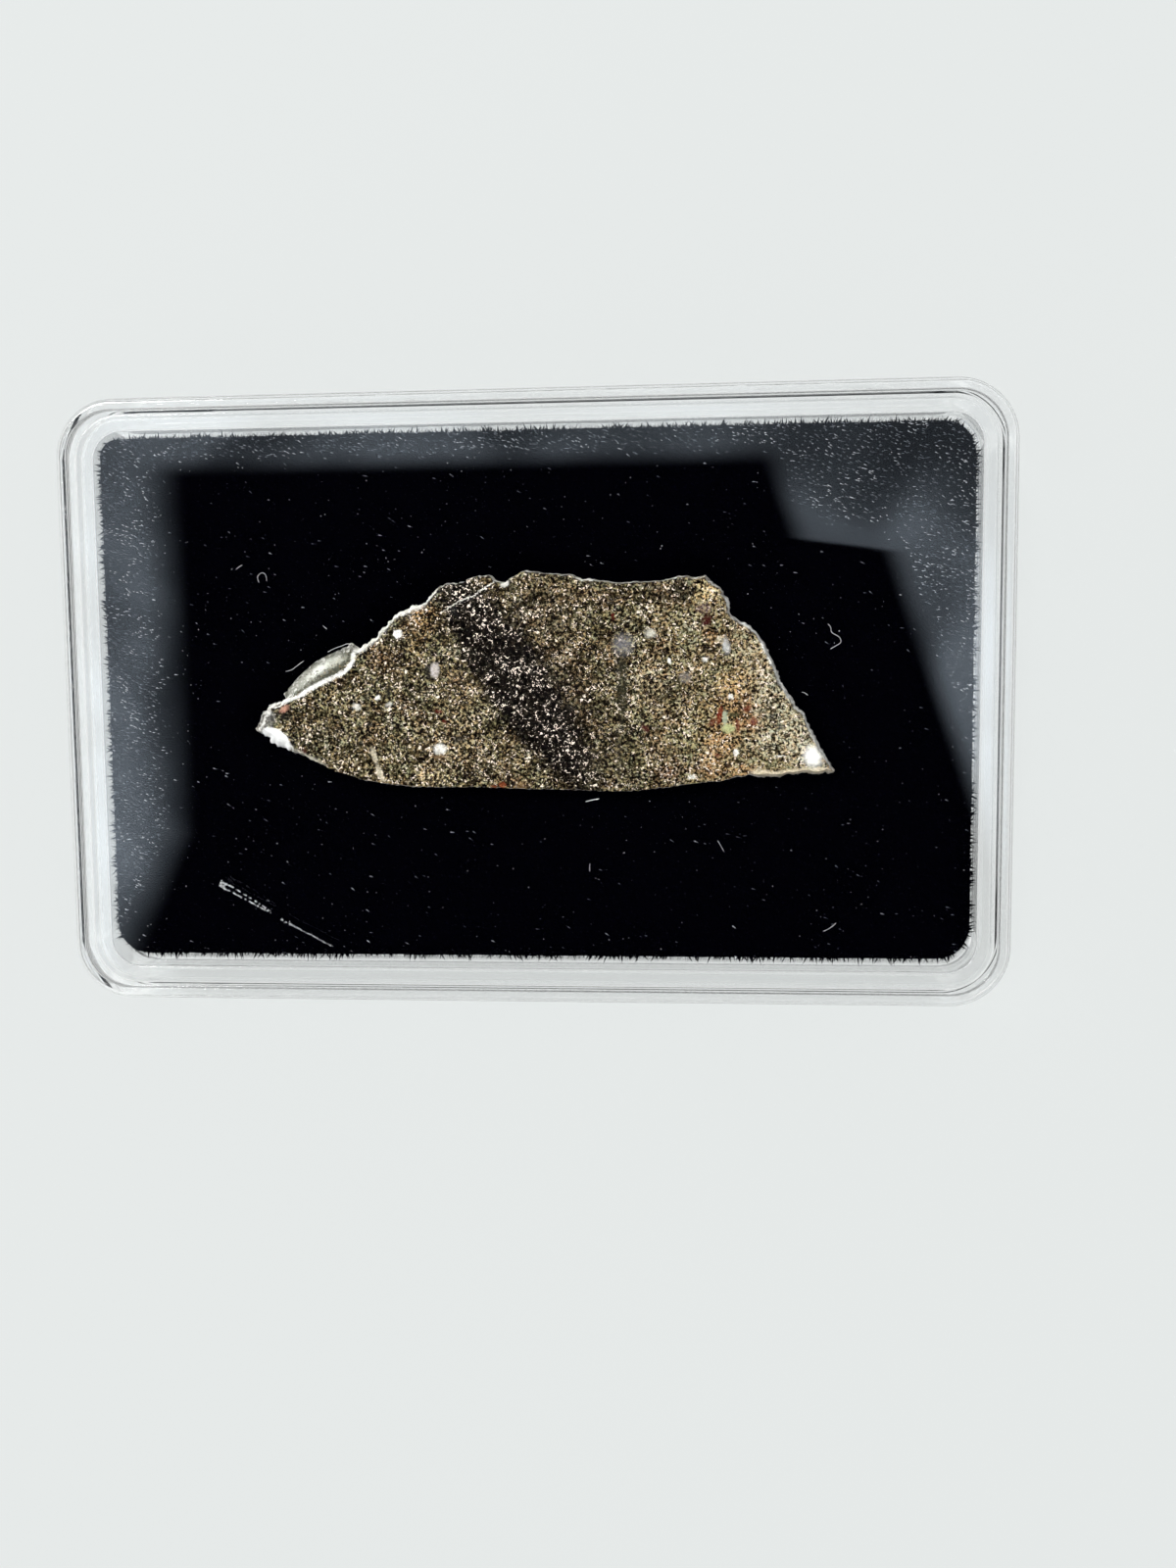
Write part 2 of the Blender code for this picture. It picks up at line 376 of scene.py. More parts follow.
# %% [markdown]
# ## Clear plastic
# Clear polystyrene is colourless and bends light about as much as crown glass. It is a Principled
# shader with full transmission and an index of refraction of 1.49. Light from a lamp would be
# blocked by it, because a path tracer follows no shadow ray through a bending surface. So shadow
# rays meet a Transparent shader instead. A node group draws fine scuffs: thin, nearly straight
# scratches and cloudy rubbed patches. It is kept as a group because two surfaces use it: the
# raised rim of the case and the torn plastic of the scratch.

# %% Scuff group
def make_scuff_group():
    group = bpy.data.node_groups.new("scuffs", "ShaderNodeTree")
    for name, kind, value in (
        ("Position", "NodeSocketVector", None), ("Amount", "NodeSocketFloat", 1.0),
    ):
        socket = group.interface.new_socket(name=name, in_out="INPUT", socket_type=kind)
        if value is not None:
            socket.default_value = value
    group.interface.new_socket(name="Mask", in_out="OUTPUT", socket_type="NodeSocketFloat")
    start = group.nodes.new("NodeGroupInput")
    place = start.outputs["Position"]
    total = None
    for turn, seed in ((0.2, 3.0), (1.3, 17.0), (2.4, 31.0)):
        lined = add(
            group, "ShaderNodeMapping", None,
            {"Vector": place, "Location": (seed, seed, 0.0), "Rotation": (0.0, 0.0, turn),
             "Scale": (0.35, 9.0, 1.0)},
        ).outputs[0]
        lines = step_of(group, noise_of(group, lined, 1.0, 1.0), 0.66, 0.74)
        total = lines if total is None else math_of(group, "MAXIMUM", total, lines)
    rubbed = step_of(group, noise_of(group, place, 1.6, 4.0, 0.65), 0.48, 0.68, 0.0, 0.5)
    mask = math_of(group, "ADD", total, rubbed, clamp=True)
    mask = math_of(group, "MULTIPLY", mask, start.outputs["Amount"])
    end = group.nodes.new("NodeGroupOutput")
    group.links.new(mask, end.inputs["Mask"])
    return group


scuff_group = make_scuff_group()

# %% Clear plastic material
RIM_TOP = 7.97


def make_clear_plastic():
    material, tree, shader, place = new_material("clear_plastic")
    height = add(tree, "ShaderNodeSeparateXYZ", None, {0: place}).outputs["Z"]
    on_rim = step_of(tree, height, RIM_TOP - 0.02, RIM_TOP)
    group = add(tree, "ShaderNodeGroup", {"node_tree": scuff_group}, {"Position": place})
    scuffs = math_of(tree, "MULTIPLY", group.outputs["Mask"], on_rim)
    tree.links.new(step_of(tree, scuffs, 0.0, 1.0, 0.01, 0.16), shader.inputs["Roughness"])
    tree.links.new(bump_of(tree, scuffs, 0.3, 0.006 * MM), shader.inputs["Normal"])
    shader.inputs["Base Color"].default_value = (1.0, 1.0, 1.0, 1.0)
    shader.inputs["Transmission Weight"].default_value = 1.0
    shader.inputs["IOR"].default_value = 1.49
    clear = add(tree, "ShaderNodeBsdfTransparent", None, {"Color": (0.99, 0.995, 0.995, 1.0)})
    path = add(tree, "ShaderNodeLightPath")
    mixed = add(
        tree, "ShaderNodeMixShader", None,
        {0: path.outputs["Is Shadow Ray"], 1: shader.outputs[0], 2: clear.outputs[0]},
    )
    tree.links.new(mixed.outputs[0], tree.nodes["Material Output"].inputs["Surface"])
    return material


clear_plastic = make_clear_plastic()
print("materials so far:", [m.name for m in bpy.data.materials])

# %% [markdown]
# ## The lid and the base
# The lid is a window with a slightly raised rim round it and a skirt that hangs from its edge.
# The base is a flat plate with an upright wall that fits inside the skirt. They could be cut from
# blocks with booleans, as in the CAD model. Here each is one cross-section carried round, because
# that gives even roundings, and every thin dark or white line in the clear edge of the case is
# one of these roundings seen through the plastic.

# %% Lid
CASE_LENGTH = 64.0
CASE_WIDTH = 41.1
CASE_RADIUS = 4.0
CASE_TOP = 8.0
WINDOW_FRONT = 7.75
WINDOW_BACK = 6.3
SKIRT_BOTTOM = 1.8
SKIRT_INSET = 0.85
RIM_INSET = 0.8

LID_SECTION = (
    (2.0, WINDOW_FRONT, 0.0),
    (RIM_INSET, WINDOW_FRONT, 0.08),
    (RIM_INSET - 0.02, CASE_TOP, 0.08),
    (0.0, CASE_TOP, 0.35),
    (0.0, SKIRT_BOTTOM, 0.10),
    (SKIRT_INSET, SKIRT_BOTTOM, 0.10),
    (SKIRT_INSET, WINDOW_BACK, 0.15),
    (2.0, WINDOW_BACK, 0.0),
)

lid = moulded_shell(
    "clear_lid", LID_SECTION, CASE_LENGTH, CASE_WIDTH, CASE_RADIUS, clear_plastic
)
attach(lid, "root")
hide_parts("case_lid")
print("lid:", len(lid.data.polygons), "faces")

# %% Base
PLATE_TOP = 1.5
WALL_TOP = 6.0
WALL_INSET = 1.1
POCKET_INSET = 2.0

BASE_SECTION = (
    (2.6, PLATE_TOP, 0.0),
    (POCKET_INSET, PLATE_TOP, 0.15),
    (POCKET_INSET, WALL_TOP, 0.12),
    (WALL_INSET, WALL_TOP, 0.12),
    (WALL_INSET, PLATE_TOP, 0.10),
    (0.0, PLATE_TOP, 0.10),
    (0.0, 0.0, 0.35),
    (2.6, 0.0, 0.0),
)

base = moulded_shell(
    "clear_base", BASE_SECTION, CASE_LENGTH, CASE_WIDTH, CASE_RADIUS, clear_plastic
)
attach(base, "root")
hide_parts("case_base")
print("base:", len(base.data.polygons), "faces")

# %% [markdown]
# ## The edge of the slice
# The outline of the stone is drawn as a list of points, clockwise from the left tip, each with
# the width of its broken rim: how far the surface slopes before it reaches the polished face.
# Everything round the stone is measured from this line: the rim, the hollow that the stone
# presses into the pad, and the mask that tells the material where the stone is broken. So the
# distance to the line is worked out once, for any number of points, with numpy.

# %% Slice edge
SLICE_EDGE = (
    (-19.3, -1.9, 0.8), (-18.9, -0.7, 0.7), (-18.4, -0.2, 0.6), (-17.5, -0.1, 0.4),
    (-17.0, 0.9, 0.9), (-16.4, 1.6, 1.2), (-15.1, 2.7, 1.3), (-14.1, 3.2, 1.2),
    (-13.3, 3.5, 0.9), (-12.5, 3.9, 0.6), (-12.0, 3.7, 0.3), (-10.7, 4.4, 0.3),
    (-9.9, 5.3, 0.35), (-9.1, 6.0, 0.4), (-8.2, 6.5, 0.45), (-7.2, 6.8, 0.4),
    (-6.4, 7.7, 0.25), (-5.6, 8.0, 0.15), (-4.9, 8.0, 0.12), (-3.9, 8.4, 0.12),
    (-2.6, 8.5, 0.12), (-2.2, 8.1, 0.12), (-1.7, 8.0, 0.12), (-1.0, 8.5, 0.12),
    (-0.3, 8.8, 0.15), (1.2, 8.6, 0.12), (2.7, 8.5, 0.12), (3.6, 8.2, 0.2),
    (5.8, 7.9, 0.12), (9.2, 8.0, 0.12), (10.1, 8.3, 0.15), (11.2, 8.2, 0.2),
    (12.0, 8.3, 0.22), (12.3, 7.9, 0.22), (13.0, 7.4, 0.25), (13.5, 6.6, 0.28),
    (13.6, 5.7, 0.22), (14.3, 5.2, 0.22), (15.4, 4.5, 0.25), (15.9, 3.6, 0.28),
    (16.6, 2.0, 0.28), (17.3, 0.5, 0.28), (18.4, -0.9, 0.28), (19.0, -2.2, 0.28),
    (19.9, -3.7, 0.25), (20.6, -4.9, 0.2), (20.4, -5.1, 0.25), (18.0, -5.1, 0.28),
    (16.5, -5.4, 0.28), (14.9, -5.2, 0.15), (12.9, -5.6, 0.1), (10.3, -5.9, 0.1),
    (8.0, -6.2, 0.1), (5.7, -6.3, 0.1), (2.8, -6.2, 0.1), (-1.1, -6.1, 0.1),
    (-3.6, -6.0, 0.1), (-5.9, -6.0, 0.12), (-8.0, -6.0, 0.12), (-10.0, -5.8, 0.12),
    (-11.7, -5.5, 0.12), (-13.6, -4.9, 0.1), (-15.0, -4.2, 0.1), (-16.4, -3.6, 0.3),
    (-17.0, -3.5, 0.8), (-18.3, -2.8, 0.8),
)
EDGE_STEP = 0.08


def noise_at(x, y, z, size, seed=0.0):
    """Smooth noise from -1 to 1, with lumps of about the given size."""
    return noise.noise(Vector((x / size + seed, y / size - seed, z / size + 0.37 * seed)))


def trace_edge():
    """The edge in fine steps, roughened where the stone is broken."""
    spots = []
    rims = []
    for start, end in zip(SLICE_EDGE, SLICE_EDGE[1:] + SLICE_EDGE[:1]):
        run = Vector(end) - Vector(start)
        steps = max(1, round(run.xy.length / EDGE_STEP))
        side = Vector((-run.y, run.x)).normalized()
        for step in range(steps):
            x, y, rim = Vector(start) + run * (step / steps)
            rough = 0.02 if rim > 0.85 else 0.02 + 0.36 * min(rim, 0.45)
            shift = rough * (noise_at(x, y, 0.0, 0.8, 2.0) + noise_at(x, y, 0.0, 0.3, 5.0)
                             + 0.6 * noise_at(x, y, 0.0, 0.17, 8.0))
            spots.append((x + side.x * shift, y + side.y * shift))
            rims.append(rim * (1.0 if rim > 0.85 else 1.0 + 0.6 * noise_at(x, y, 0, 0.7, 11.0)))
    spots = np.array(spots)
    rims = np.array(rims)
    for _ in range(6):
        rims = (rims + np.roll(rims, 1) + np.roll(rims, -1)) / 3
    return spots, rims


edge_spots, edge_rims = trace_edge()
print("edge:", len(edge_spots), "points")


# %% Distance to the edge
def inside_of(outline, points):
    """Which points lie inside a closed outline."""
    ends = np.roll(outline, -1, axis=0)
    rise = ends[:, 1] - outline[:, 1]
    rise[np.abs(rise) < 1e-9] = 1e-9
    x, y = points[:, 0:1], points[:, 1:2]
    over = (outline[:, 1] > y) != (ends[:, 1] > y)
    cross = outline[:, 0] + (y - outline[:, 1]) * (ends[:, 0] - outline[:, 0]) / rise
    return (over & (x < cross)).sum(axis=1) % 2 == 1


def edge_reach(points):
    """Signed distance to the edge, above zero inside, and the rim width there."""
    points = np.asarray(points, dtype=float)
    ends = np.roll(edge_spots, -1, axis=0)
    along = ends - edge_spots
    square = (along ** 2).sum(axis=1)
    distance = np.empty(len(points))
    rims = np.empty(len(points))
    inside = np.zeros(len(points), dtype=bool)
    for first in range(0, len(points), 2000):
        part = points[first:first + 2000]
        gap = part[:, None, :] - edge_spots[None, :, :]
        share = np.clip((gap * along).sum(axis=2) / square, 0.0, 1.0)
        near = ((gap - share[..., None] * along) ** 2).sum(axis=2)
        closest = near.argmin(axis=1)
        distance[first:first + 2000] = np.sqrt(near[np.arange(len(part)), closest])
        rims[first:first + 2000] = edge_rims[closest]
        inside[first:first + 2000] = inside_of(edge_spots, part)
    return np.where(inside, distance, -distance), rims


middle = edge_reach([(0.0, 0.0), (0.0, 15.0)])[0]
print("middle of the slice is", round(float(middle[0]), 2), "mm inside its edge")

# %% [markdown]
# ## The slice
# The slice was sawn on both faces, and its long lower edge too, while its other edges are broken.
# A block with a bumpy texture would show a straight edge from the side, so the form is real
# geometry: the outline is filled with a fine net of triangles, the face is flat, and towards each
# edge the surface bends down by the rim's own width. Where the rim is widest, on the upper left,
# it bends down roundly and smoothly: a clear glassy swelling. The grey knob at the left tip is
# only colour, and the white shine of the chip there is a painted highlight, not a facet in the
# net.
# Delaunay triangulation makes the net, because it joins an even grid to the wavy edge without
# slivers. The share of the way across the rim is kept on the points, for the material.

# %% Slice mesh
SLICE_TOP = 6.0
SLICE_BOTTOM = 4.4
EDGE_HEIGHT = 5.12
NET_STEP = 0.13
RIM_SHARES = (0.15, 0.32, 0.5, 0.68, 0.84, 1.0)
CRACK = ((-2.32, 8.0), (-3.1, 7.55), (-3.7, 7.1), (-4.6, 6.8), (-5.2, 6.4), (-5.7, 6.15))


def inward_of(spots, reach=4):
    """Unit vectors that point into a clockwise outline."""
    run = np.roll(spots, -reach, axis=0) - np.roll(spots, reach, axis=0)
    inward = np.stack([run[:, 1], -run[:, 0]], axis=1)
    return inward / np.linalg.norm(inward, axis=1)[:, None]


def crack_reach(x, y):
    """Distance to the crack at the top of the slice."""
    best = 9.0
    for start, end in zip(CRACK, CRACK[1:]):
        run = Vector(end) - Vector(start)
        gap = Vector((x, y)) - Vector(start)
        share = min(1.0, max(0.0, gap.dot(run) / run.length_squared))
        best = min(best, (gap - run * share).length)
    return best


def fill_net(outline, extra):
    """Triangles that fill an outline and use the extra points inside it.

    Delaunay triangulation also fills the bays of the outline. A triangle there has all three
    corners on the outline, so only those are tested and dropped."""
    count = len(outline)
    places = [Vector(p) for p in np.vstack([outline, extra])]
    edges = [(i, (i + 1) % count) for i in range(count)]
    found = delaunay_2d_cdt(places, edges, [], 1, 1e-7, False)
    flat = np.array([tuple(v) for v in found[0]])
    faces = np.array(found[2])
    outer = np.flatnonzero(faces.max(axis=1) < count)
    stray = outer[~inside_of(outline, flat[faces[outer]].mean(axis=1))]
    return flat, np.delete(faces, stray, axis=0).tolist()


def slice_height(x, y, reach, rim):
    """Height of the upper surface and the share of the way across the rim."""
    share = min(1.0, reach / max(rim, 0.05))
    drop = (1.0 - share) ** 1.6 if rim > 0.85 else (1.0 - share) ** 1.15
    height = SLICE_TOP - (SLICE_TOP - EDGE_HEIGHT) * drop
    glassy = rim > 0.85 and x < -12.0 and y > 0.0
    broken = min(rim, 0.5) * (0.05 if glassy else 0.26) * min(1.0, 4 * share * (1 - share) + 0.3)
    if share < 1.0:
        height += broken * (noise_at(x, y, 0, 0.45, 9.0) + 0.7 * noise_at(x, y, 0, 0.16, 4.0))
        height = min(height, SLICE_TOP - 0.004)
    else:
        pit = max(0.0, noise_at(x, y, 0, 0.35, 7.0) - 0.42)
        height -= 0.10 * pit + 0.05 * max(0.0, 1.0 - crack_reach(x, y) / 0.09)
    return height, share


def make_slice_mesh():
    inward = inward_of(edge_spots)
    rings = [edge_spots + inward * (edge_rims * share)[:, None] for share in RIM_SHARES]
    low, high = edge_spots.min(axis=0), edge_spots.max(axis=0)
    xs = np.arange(low[0], high[0], NET_STEP)
    ys = np.arange(low[1], high[1], NET_STEP)
    grid = np.array([(x, y) for x in xs for y in ys])
    grid += np.random.default_rng(5).uniform(-0.3, 0.3, grid.shape) * NET_STEP
    reach, rims = edge_reach(grid)
    grid = grid[reach > rims * 1.1 + 0.05]
    ringed = np.vstack(rings)
    reach, rims = edge_reach(ringed)
    expected = np.concatenate([edge_rims * share for share in RIM_SHARES])
    ringed = ringed[reach > expected * 0.6]
    flat, faces = fill_net(edge_spots, np.vstack([ringed, grid]))
    reach, rims = edge_reach(flat)
    count = len(edge_spots)
    points = []
    shares = []
    for i, (x, y) in enumerate(flat):
        height, share = slice_height(x, y, 0.0 if i < count else max(0.0, reach[i]), rims[i])
        if i < count:
            height = EDGE_HEIGHT + 0.12 * noise_at(x, y, 0.0, 0.6, 6.0)
        points.append((x, y, height))
        shares.append(share)
    faces = [tuple(face) for face in faces]

    previous = list(range(count))
    for height, inset in ((4.95, -0.01), (4.75, 0.02), (4.58, 0.07), (SLICE_BOTTOM, 0.16)):
        ring = []
        for i in range(count):
            x, y = edge_spots[i] + inward[i] * inset
            rough = min(edge_rims[i], 0.4) * 0.15 + 0.01
            shift = rough * noise_at(x, y, height, 0.3, 3.0)
            ring.append(len(points))
            points.append((x - inward[i][0] * shift, y - inward[i][1] * shift, height))
            shares.append(0.0)
        for i in range(count):
            j = (i + 1) % count
            faces.append((previous[i], previous[j], ring[j], ring[i]))
        previous = ring
    _, caps = fill_net(edge_spots, np.empty((0, 2)))
    faces += [tuple(previous[i] for i in face) for face in caps]
    return points, faces, shares


slice_points, slice_faces, slice_shares = make_slice_mesh()
print("slice:", len(slice_points), "points,", len(slice_faces), "faces")

# %% [markdown]
# ## The breccia
# A lunar breccia is rubble welded together: a fine mixture of pale feldspar and dark glass, with
# larger fragments in it, and rust where it weathered on Earth. The fine mixture is noise with
# steep colour stops, in grains of about a tenth of a millimetre. A dark band crosses it, and
# stains and fragments lie at their own places. Each of those is one `spot` group: a soft ellipse
# with a ragged edge, whose mask blends one more colour in. An image could hold all this, but
# nodes stay sharp at any size.

# %% Spot group
def make_spot_group():
    """A soft ellipse. Along and Across are its two directions, each divided by its radius."""
    group = bpy.data.node_groups.new("spot", "ShaderNodeTree")
    for name, kind in (
        ("Position", "NodeSocketVector"), ("Centre", "NodeSocketVector"),
        ("Along", "NodeSocketVector"), ("Across", "NodeSocketVector"),
        ("Softness", "NodeSocketFloat"),
    ):
        group.interface.new_socket(name=name, in_out="INPUT", socket_type=kind)
    group.interface.new_socket(name="Mask", in_out="OUTPUT", socket_type="NodeSocketFloat")
    start = group.nodes.new("NodeGroupInput")
    given = start.outputs
    offset = add(
        group, "ShaderNodeVectorMath", {"operation": "SUBTRACT"},
        {0: given["Position"], 1: given["Centre"]},
    ).outputs[0]
    squares = []
    for axis in ("Along", "Across"):
        reach = add(
            group, "ShaderNodeVectorMath", {"operation": "DOT_PRODUCT"},
            {0: offset, 1: given[axis]},
        ).outputs["Value"]
        squares.append(math_of(group, "MULTIPLY", reach, reach))
    far = math_of(group, "SQRT", math_of(group, "ADD", *squares))
    outer = math_of(group, "ADD", 1.0, given["Softness"])
    inner = math_of(group, "SUBTRACT", 1.0, given["Softness"])
    mask = step_of(group, far, outer, inner)
    end = group.nodes.new("NodeGroupOutput")
    group.links.new(mask, end.inputs["Mask"])
    return group


spot_group = make_spot_group()

# %% Spots on the slice
# Each spot: x, y, radius along, radius across, turn in degrees, softness, strength, colour
CREAM = (0.62, 0.56, 0.43)
WHITE = (0.80, 0.78, 0.74)
PALE = (0.42, 0.42, 0.38)
OLIVE = (0.150, 0.135, 0.080)
DARK = (0.010, 0.009, 0.008)
RUST = (0.19, 0.115, 0.062)
RED = (0.085, 0.010, 0.006)
BROWN = (0.15, 0.085, 0.035)

STAINS = (
    (-7.2, 5.9, 1.1, 0.8, 0, 0.6, 0.55, BROWN),
    (-9.8, 2.6, 1.6, 0.9, -40, 0.6, 0.35, (0.09, 0.05, 0.03)),
    (11.9, 7.1, 0.95, 0.85, -20, 0.35, 0.8, (0.24, 0.205, 0.13)),
    (10.3, 7.3, 0.8, 0.6, 0, 0.5, 0.75, DARK),
    (8.6, 7.2, 1.8, 0.7, 0, 0.6, 0.45, DARK),
    (12.2, 4.45, 0.65, 0.5, -30, 0.4, 0.6, RUST),
    (14.0, 1.0, 1.3, 1.0, 30, 0.6, 0.35, (0.30, 0.19, 0.09)),
    (13.9, -0.9, 1.9, 1.6, 0, 0.5, 0.45, RUST),
    (12.7, -3.4, 1.0, 1.5, -10, 0.5, 0.5, RUST),
    (13.6, -5.0, 1.9, 0.35, 4, 0.6, 0.6, RUST),
    (10.9, -1.8, 1.6, 1.2, 20, 0.7, 0.3, OLIVE),
    (16.0, -2.9, 1.1, 0.9, 30, 0.5, 0.6, (0.20, 0.20, 0.16)),
    (18.0, -2.8, 1.0, 1.6, 30, 0.6, 0.35, PALE),
    (3.0, 3.7, 0.9, 1.0, 0, 0.6, 0.35, (0.22, 0.18, 0.11)),
    (0.7, 4.2, 0.45, 0.4, 0, 0.5, 0.5, (0.22, 0.19, 0.12)),
    (-13.0, -2.3, 0.5, 0.4, 0, 0.5, 0.5, (0.05, 0.03, 0.02)),
    (-6.8, -5.1, 0.9, 0.6, 0, 0.6, 0.4, CREAM),
    (9.6, -5.0, 1.6, 0.5, 5, 0.5, 0.6, (0.05, 0.02, 0.015)),
    (6.4, 0.5, 0.45, 4.6, 2, 0.6, 0.55, (0.040, 0.038, 0.026)),
    (8.3, 0.9, 1.2, 1.7, 20, 0.6, 0.6, (0.20, 0.175, 0.135)),
    (-15.5, -2.2, 2.0, 1.3, -25, 0.6, 0.4, (0.085, 0.082, 0.060)),
    (-9.3, 4.6, 1.2, 1.1, 0, 0.6, 0.5, (0.105, 0.105, 0.080)),
    (-7.6, 4.6, 0.8, 1.3, -20, 0.5, 0.5, (0.17, 0.125, 0.075)),
    (-4.6, -3.6, 2.2, 1.3, -35, 0.6, 0.5, (0.17, 0.14, 0.105)),
    (0.9, 6.3, 2.6, 1.5, 5, 0.6, 0.6, (0.080, 0.072, 0.050)),
    (2.0, 0.8, 7.5, 2.8, -78, 0.6, 0.62, (0.060, 0.048, 0.035)),
    (17.0, -1.0, 1.6, 2.6, 30, 0.6, 0.65, (0.185, 0.180, 0.150)),
    (15.0, 2.6, 1.3, 2.0, 30, 0.6, 0.60, (0.185, 0.165, 0.125)),
    (-5.0, -1.4, 1.8, 2.6, -30, 0.6, 0.5, (0.17, 0.150, 0.105)),
)
CLASTS = (
    (-9.02, 4.57, 0.31, 0.29, 0, 0.25, 1.0, (0.92, 0.90, 0.86)),
    (-10.5, 0.26, 0.19, 0.15, 30, 0.3, 1.0, WHITE),
    (-11.98, -0.36, 0.27, 0.2, -20, 0.5, 0.75, WHITE),
    (-9.72, -0.23, 0.26, 0.14, 30, 0.5, 0.5, WHITE),
    (-9.76, 0.62, 0.22, 0.42, -20, 0.35, 0.95, DARK),
    (-6.95, 2.0, 0.26, 0.5, 10, 0.3, 0.95, DARK),
    (-6.5, 2.08, 0.3, 0.5, 0, 0.35, 0.9, (0.55, 0.50, 0.48)),
    (-6.24, -3.3, 0.42, 0.36, 0, 0.35, 0.9, WHITE),
    (-6.3, -3.85, 0.4, 0.15, 0, 0.5, 0.7, RUST),
    (-10.85, -3.7, 0.17, 0.5, 15, 0.5, 0.75, CREAM),
    (-10.45, -4.95, 0.2, 0.55, 20, 0.5, 0.75, CREAM),
    (-11.12, -1.61, 0.2, 0.12, 0, 0.3, 0.9, DARK),
    (-11.78, -2.89, 0.14, 0.14, 0, 0.3, 0.9, DARK),
    (-15.75, -3.42, 0.18, 0.16, 0, 0.3, 0.9, (0.04, 0.006, 0.004)),
    (-17.0, -1.05, 0.4, 0.28, 0, 0.4, 0.85, DARK),
    (-17.05, -0.47, 0.34, 0.2, 30, 0.5, 0.8, (0.50, 0.24, 0.17)),
    (-6.3, -0.72, 0.28, 0.13, 0, 0.4, 0.85, RED),
    (-5.9, -1.43, 0.16, 0.14, 0, 0.4, 0.85, RED),
    (-1.96, -5.77, 0.24, 0.2, 0, 0.4, 0.9, (0.16, 0.03, 0.01)),
    (-2.54, -5.9, 0.2, 0.12, 0, 0.4, 0.85, (0.16, 0.03, 0.01)),
    (-0.67, -5.77, 0.3, 0.22, 0, 0.5, 0.6, BROWN),
    (-4.87, -2.62, 0.45, 0.3, 0, 0.5, 0.8, DARK),
    (-1.6, 7.9, 0.28, 0.2, 30, 0.5, 0.9, WHITE),
    (6.38, 3.7, 0.6, 0.6, 0, 0.7, 0.40, (0.36, 0.35, 0.38)),
    (6.1, 2.3, 0.3, 0.7, -20, 0.5, 0.75, DARK),
    (6.3, 0.6, 0.28, 2.0, 0, 0.7, 0.55, (0.035, 0.033, 0.02)),
    (6.0, -3.8, 0.2, 2.0, 0, 0.8, 0.45, (0.03, 0.025, 0.02)),
    (5.69, 5.61, 0.12, 0.25, 0, 0.4, 0.85, RED),
    (5.54, 6.62, 0.22, 0.2, 0, 0.4, 0.85, DARK),
    (2.79, -0.51, 0.35, 0.25, 0, 0.5, 0.7, DARK),
    (8.22, 4.43, 0.36, 0.28, 0, 0.5, 0.75, (0.62, 0.60, 0.52)),
    (9.47, 2.56, 0.12, 0.2, 20, 0.3, 1.0, WHITE),
    (10.52, 1.45, 0.42, 0.36, 0, 0.3, 0.6, (0.17, 0.155, 0.15)),
    (11.99, 5.3, 0.3, 0.42, -30, 0.4, 0.95, (0.035, 0.004, 0.004)),
    (11.79, 6.04, 0.5, 0.3, 0, 0.6, 0.6, (0.10, 0.05, 0.06)),
    (12.85, 4.05, 0.2, 0.14, 20, 0.4, 0.9, CREAM),
    (12.78, 3.6, 0.12, 0.12, 0, 0.3, 1.0, DARK),
    (13.28, 3.55, 0.24, 0.5, 8, 0.5, 0.85, (0.42, 0.43, 0.44)),
    (11.88, 2.64, 0.2, 0.16, 0, 0.4, 0.85, WHITE),
    (13.58, 0.12, 0.17, 0.2, 20, 0.25, 1.0, WHITE),
    (13.5, -0.1, 0.25, 0.1, 0, 0.3, 0.9, DARK),
    (14.68, -0.68, 0.3, 0.18, 20, 0.4, 0.85, (0.12, 0.02, 0.01)),
    (15.1, -1.5, 0.26, 0.3, 0, 0.35, 0.9, RED),
    (12.85, -1.1, 0.16, 0.62, -12, 0.35, 0.95, (0.13, 0.012, 0.006)),
    (12.35, -1.6, 0.16, 0.4, -50, 0.4, 0.8, RED),
    (13.2, -1.3, 0.17, 0.5, 0, 0.3, 0.95, (0.30, 0.34, 0.25)),
    (13.4, -2.0, 0.42, 0.3, 10, 0.3, 0.95, (0.42, 0.45, 0.22)),
    (13.8, -1.05, 0.36, 0.18, 0, 0.35, 0.9, (0.03, 0.03, 0.012)),
    (14.05, -1.8, 0.12, 0.45, 5, 0.4, 0.85, RED),
    (12.08, 0.73, 0.13, 0.11, 0, 0.3, 0.95, DARK),
    (15.13, 2.01, 0.15, 0.15, 0, 0.3, 0.95, DARK),
    (16.33, -1.26, 0.2, 0.3, 0, 0.4, 0.85, DARK),
    (16.93, -1.97, 0.28, 0.18, 0, 0.5, 0.7, (0.03, 0.03, 0.03)),
    (12.68, -3.82, 0.18, 0.14, 0, 0.4, 0.9, RED),
    (13.48, -4.53, 0.15, 0.14, 0, 0.4, 0.9, (0.04, 0.02, 0.01)),
    (10.96, -5.28, 0.24, 0.14, 10, 0.3, 1.0, WHITE),
    (13.93, -3.62, 0.17, 0.24, 0, 0.4, 0.9, WHITE),
    (7.83, -1.97, 0.22, 0.3, 30, 0.4, 0.8, (0.06, 0.01, 0.01)),
    (16.84, -3.86, 0.45, 0.035, 0, 0.4, 0.9, WHITE),
)
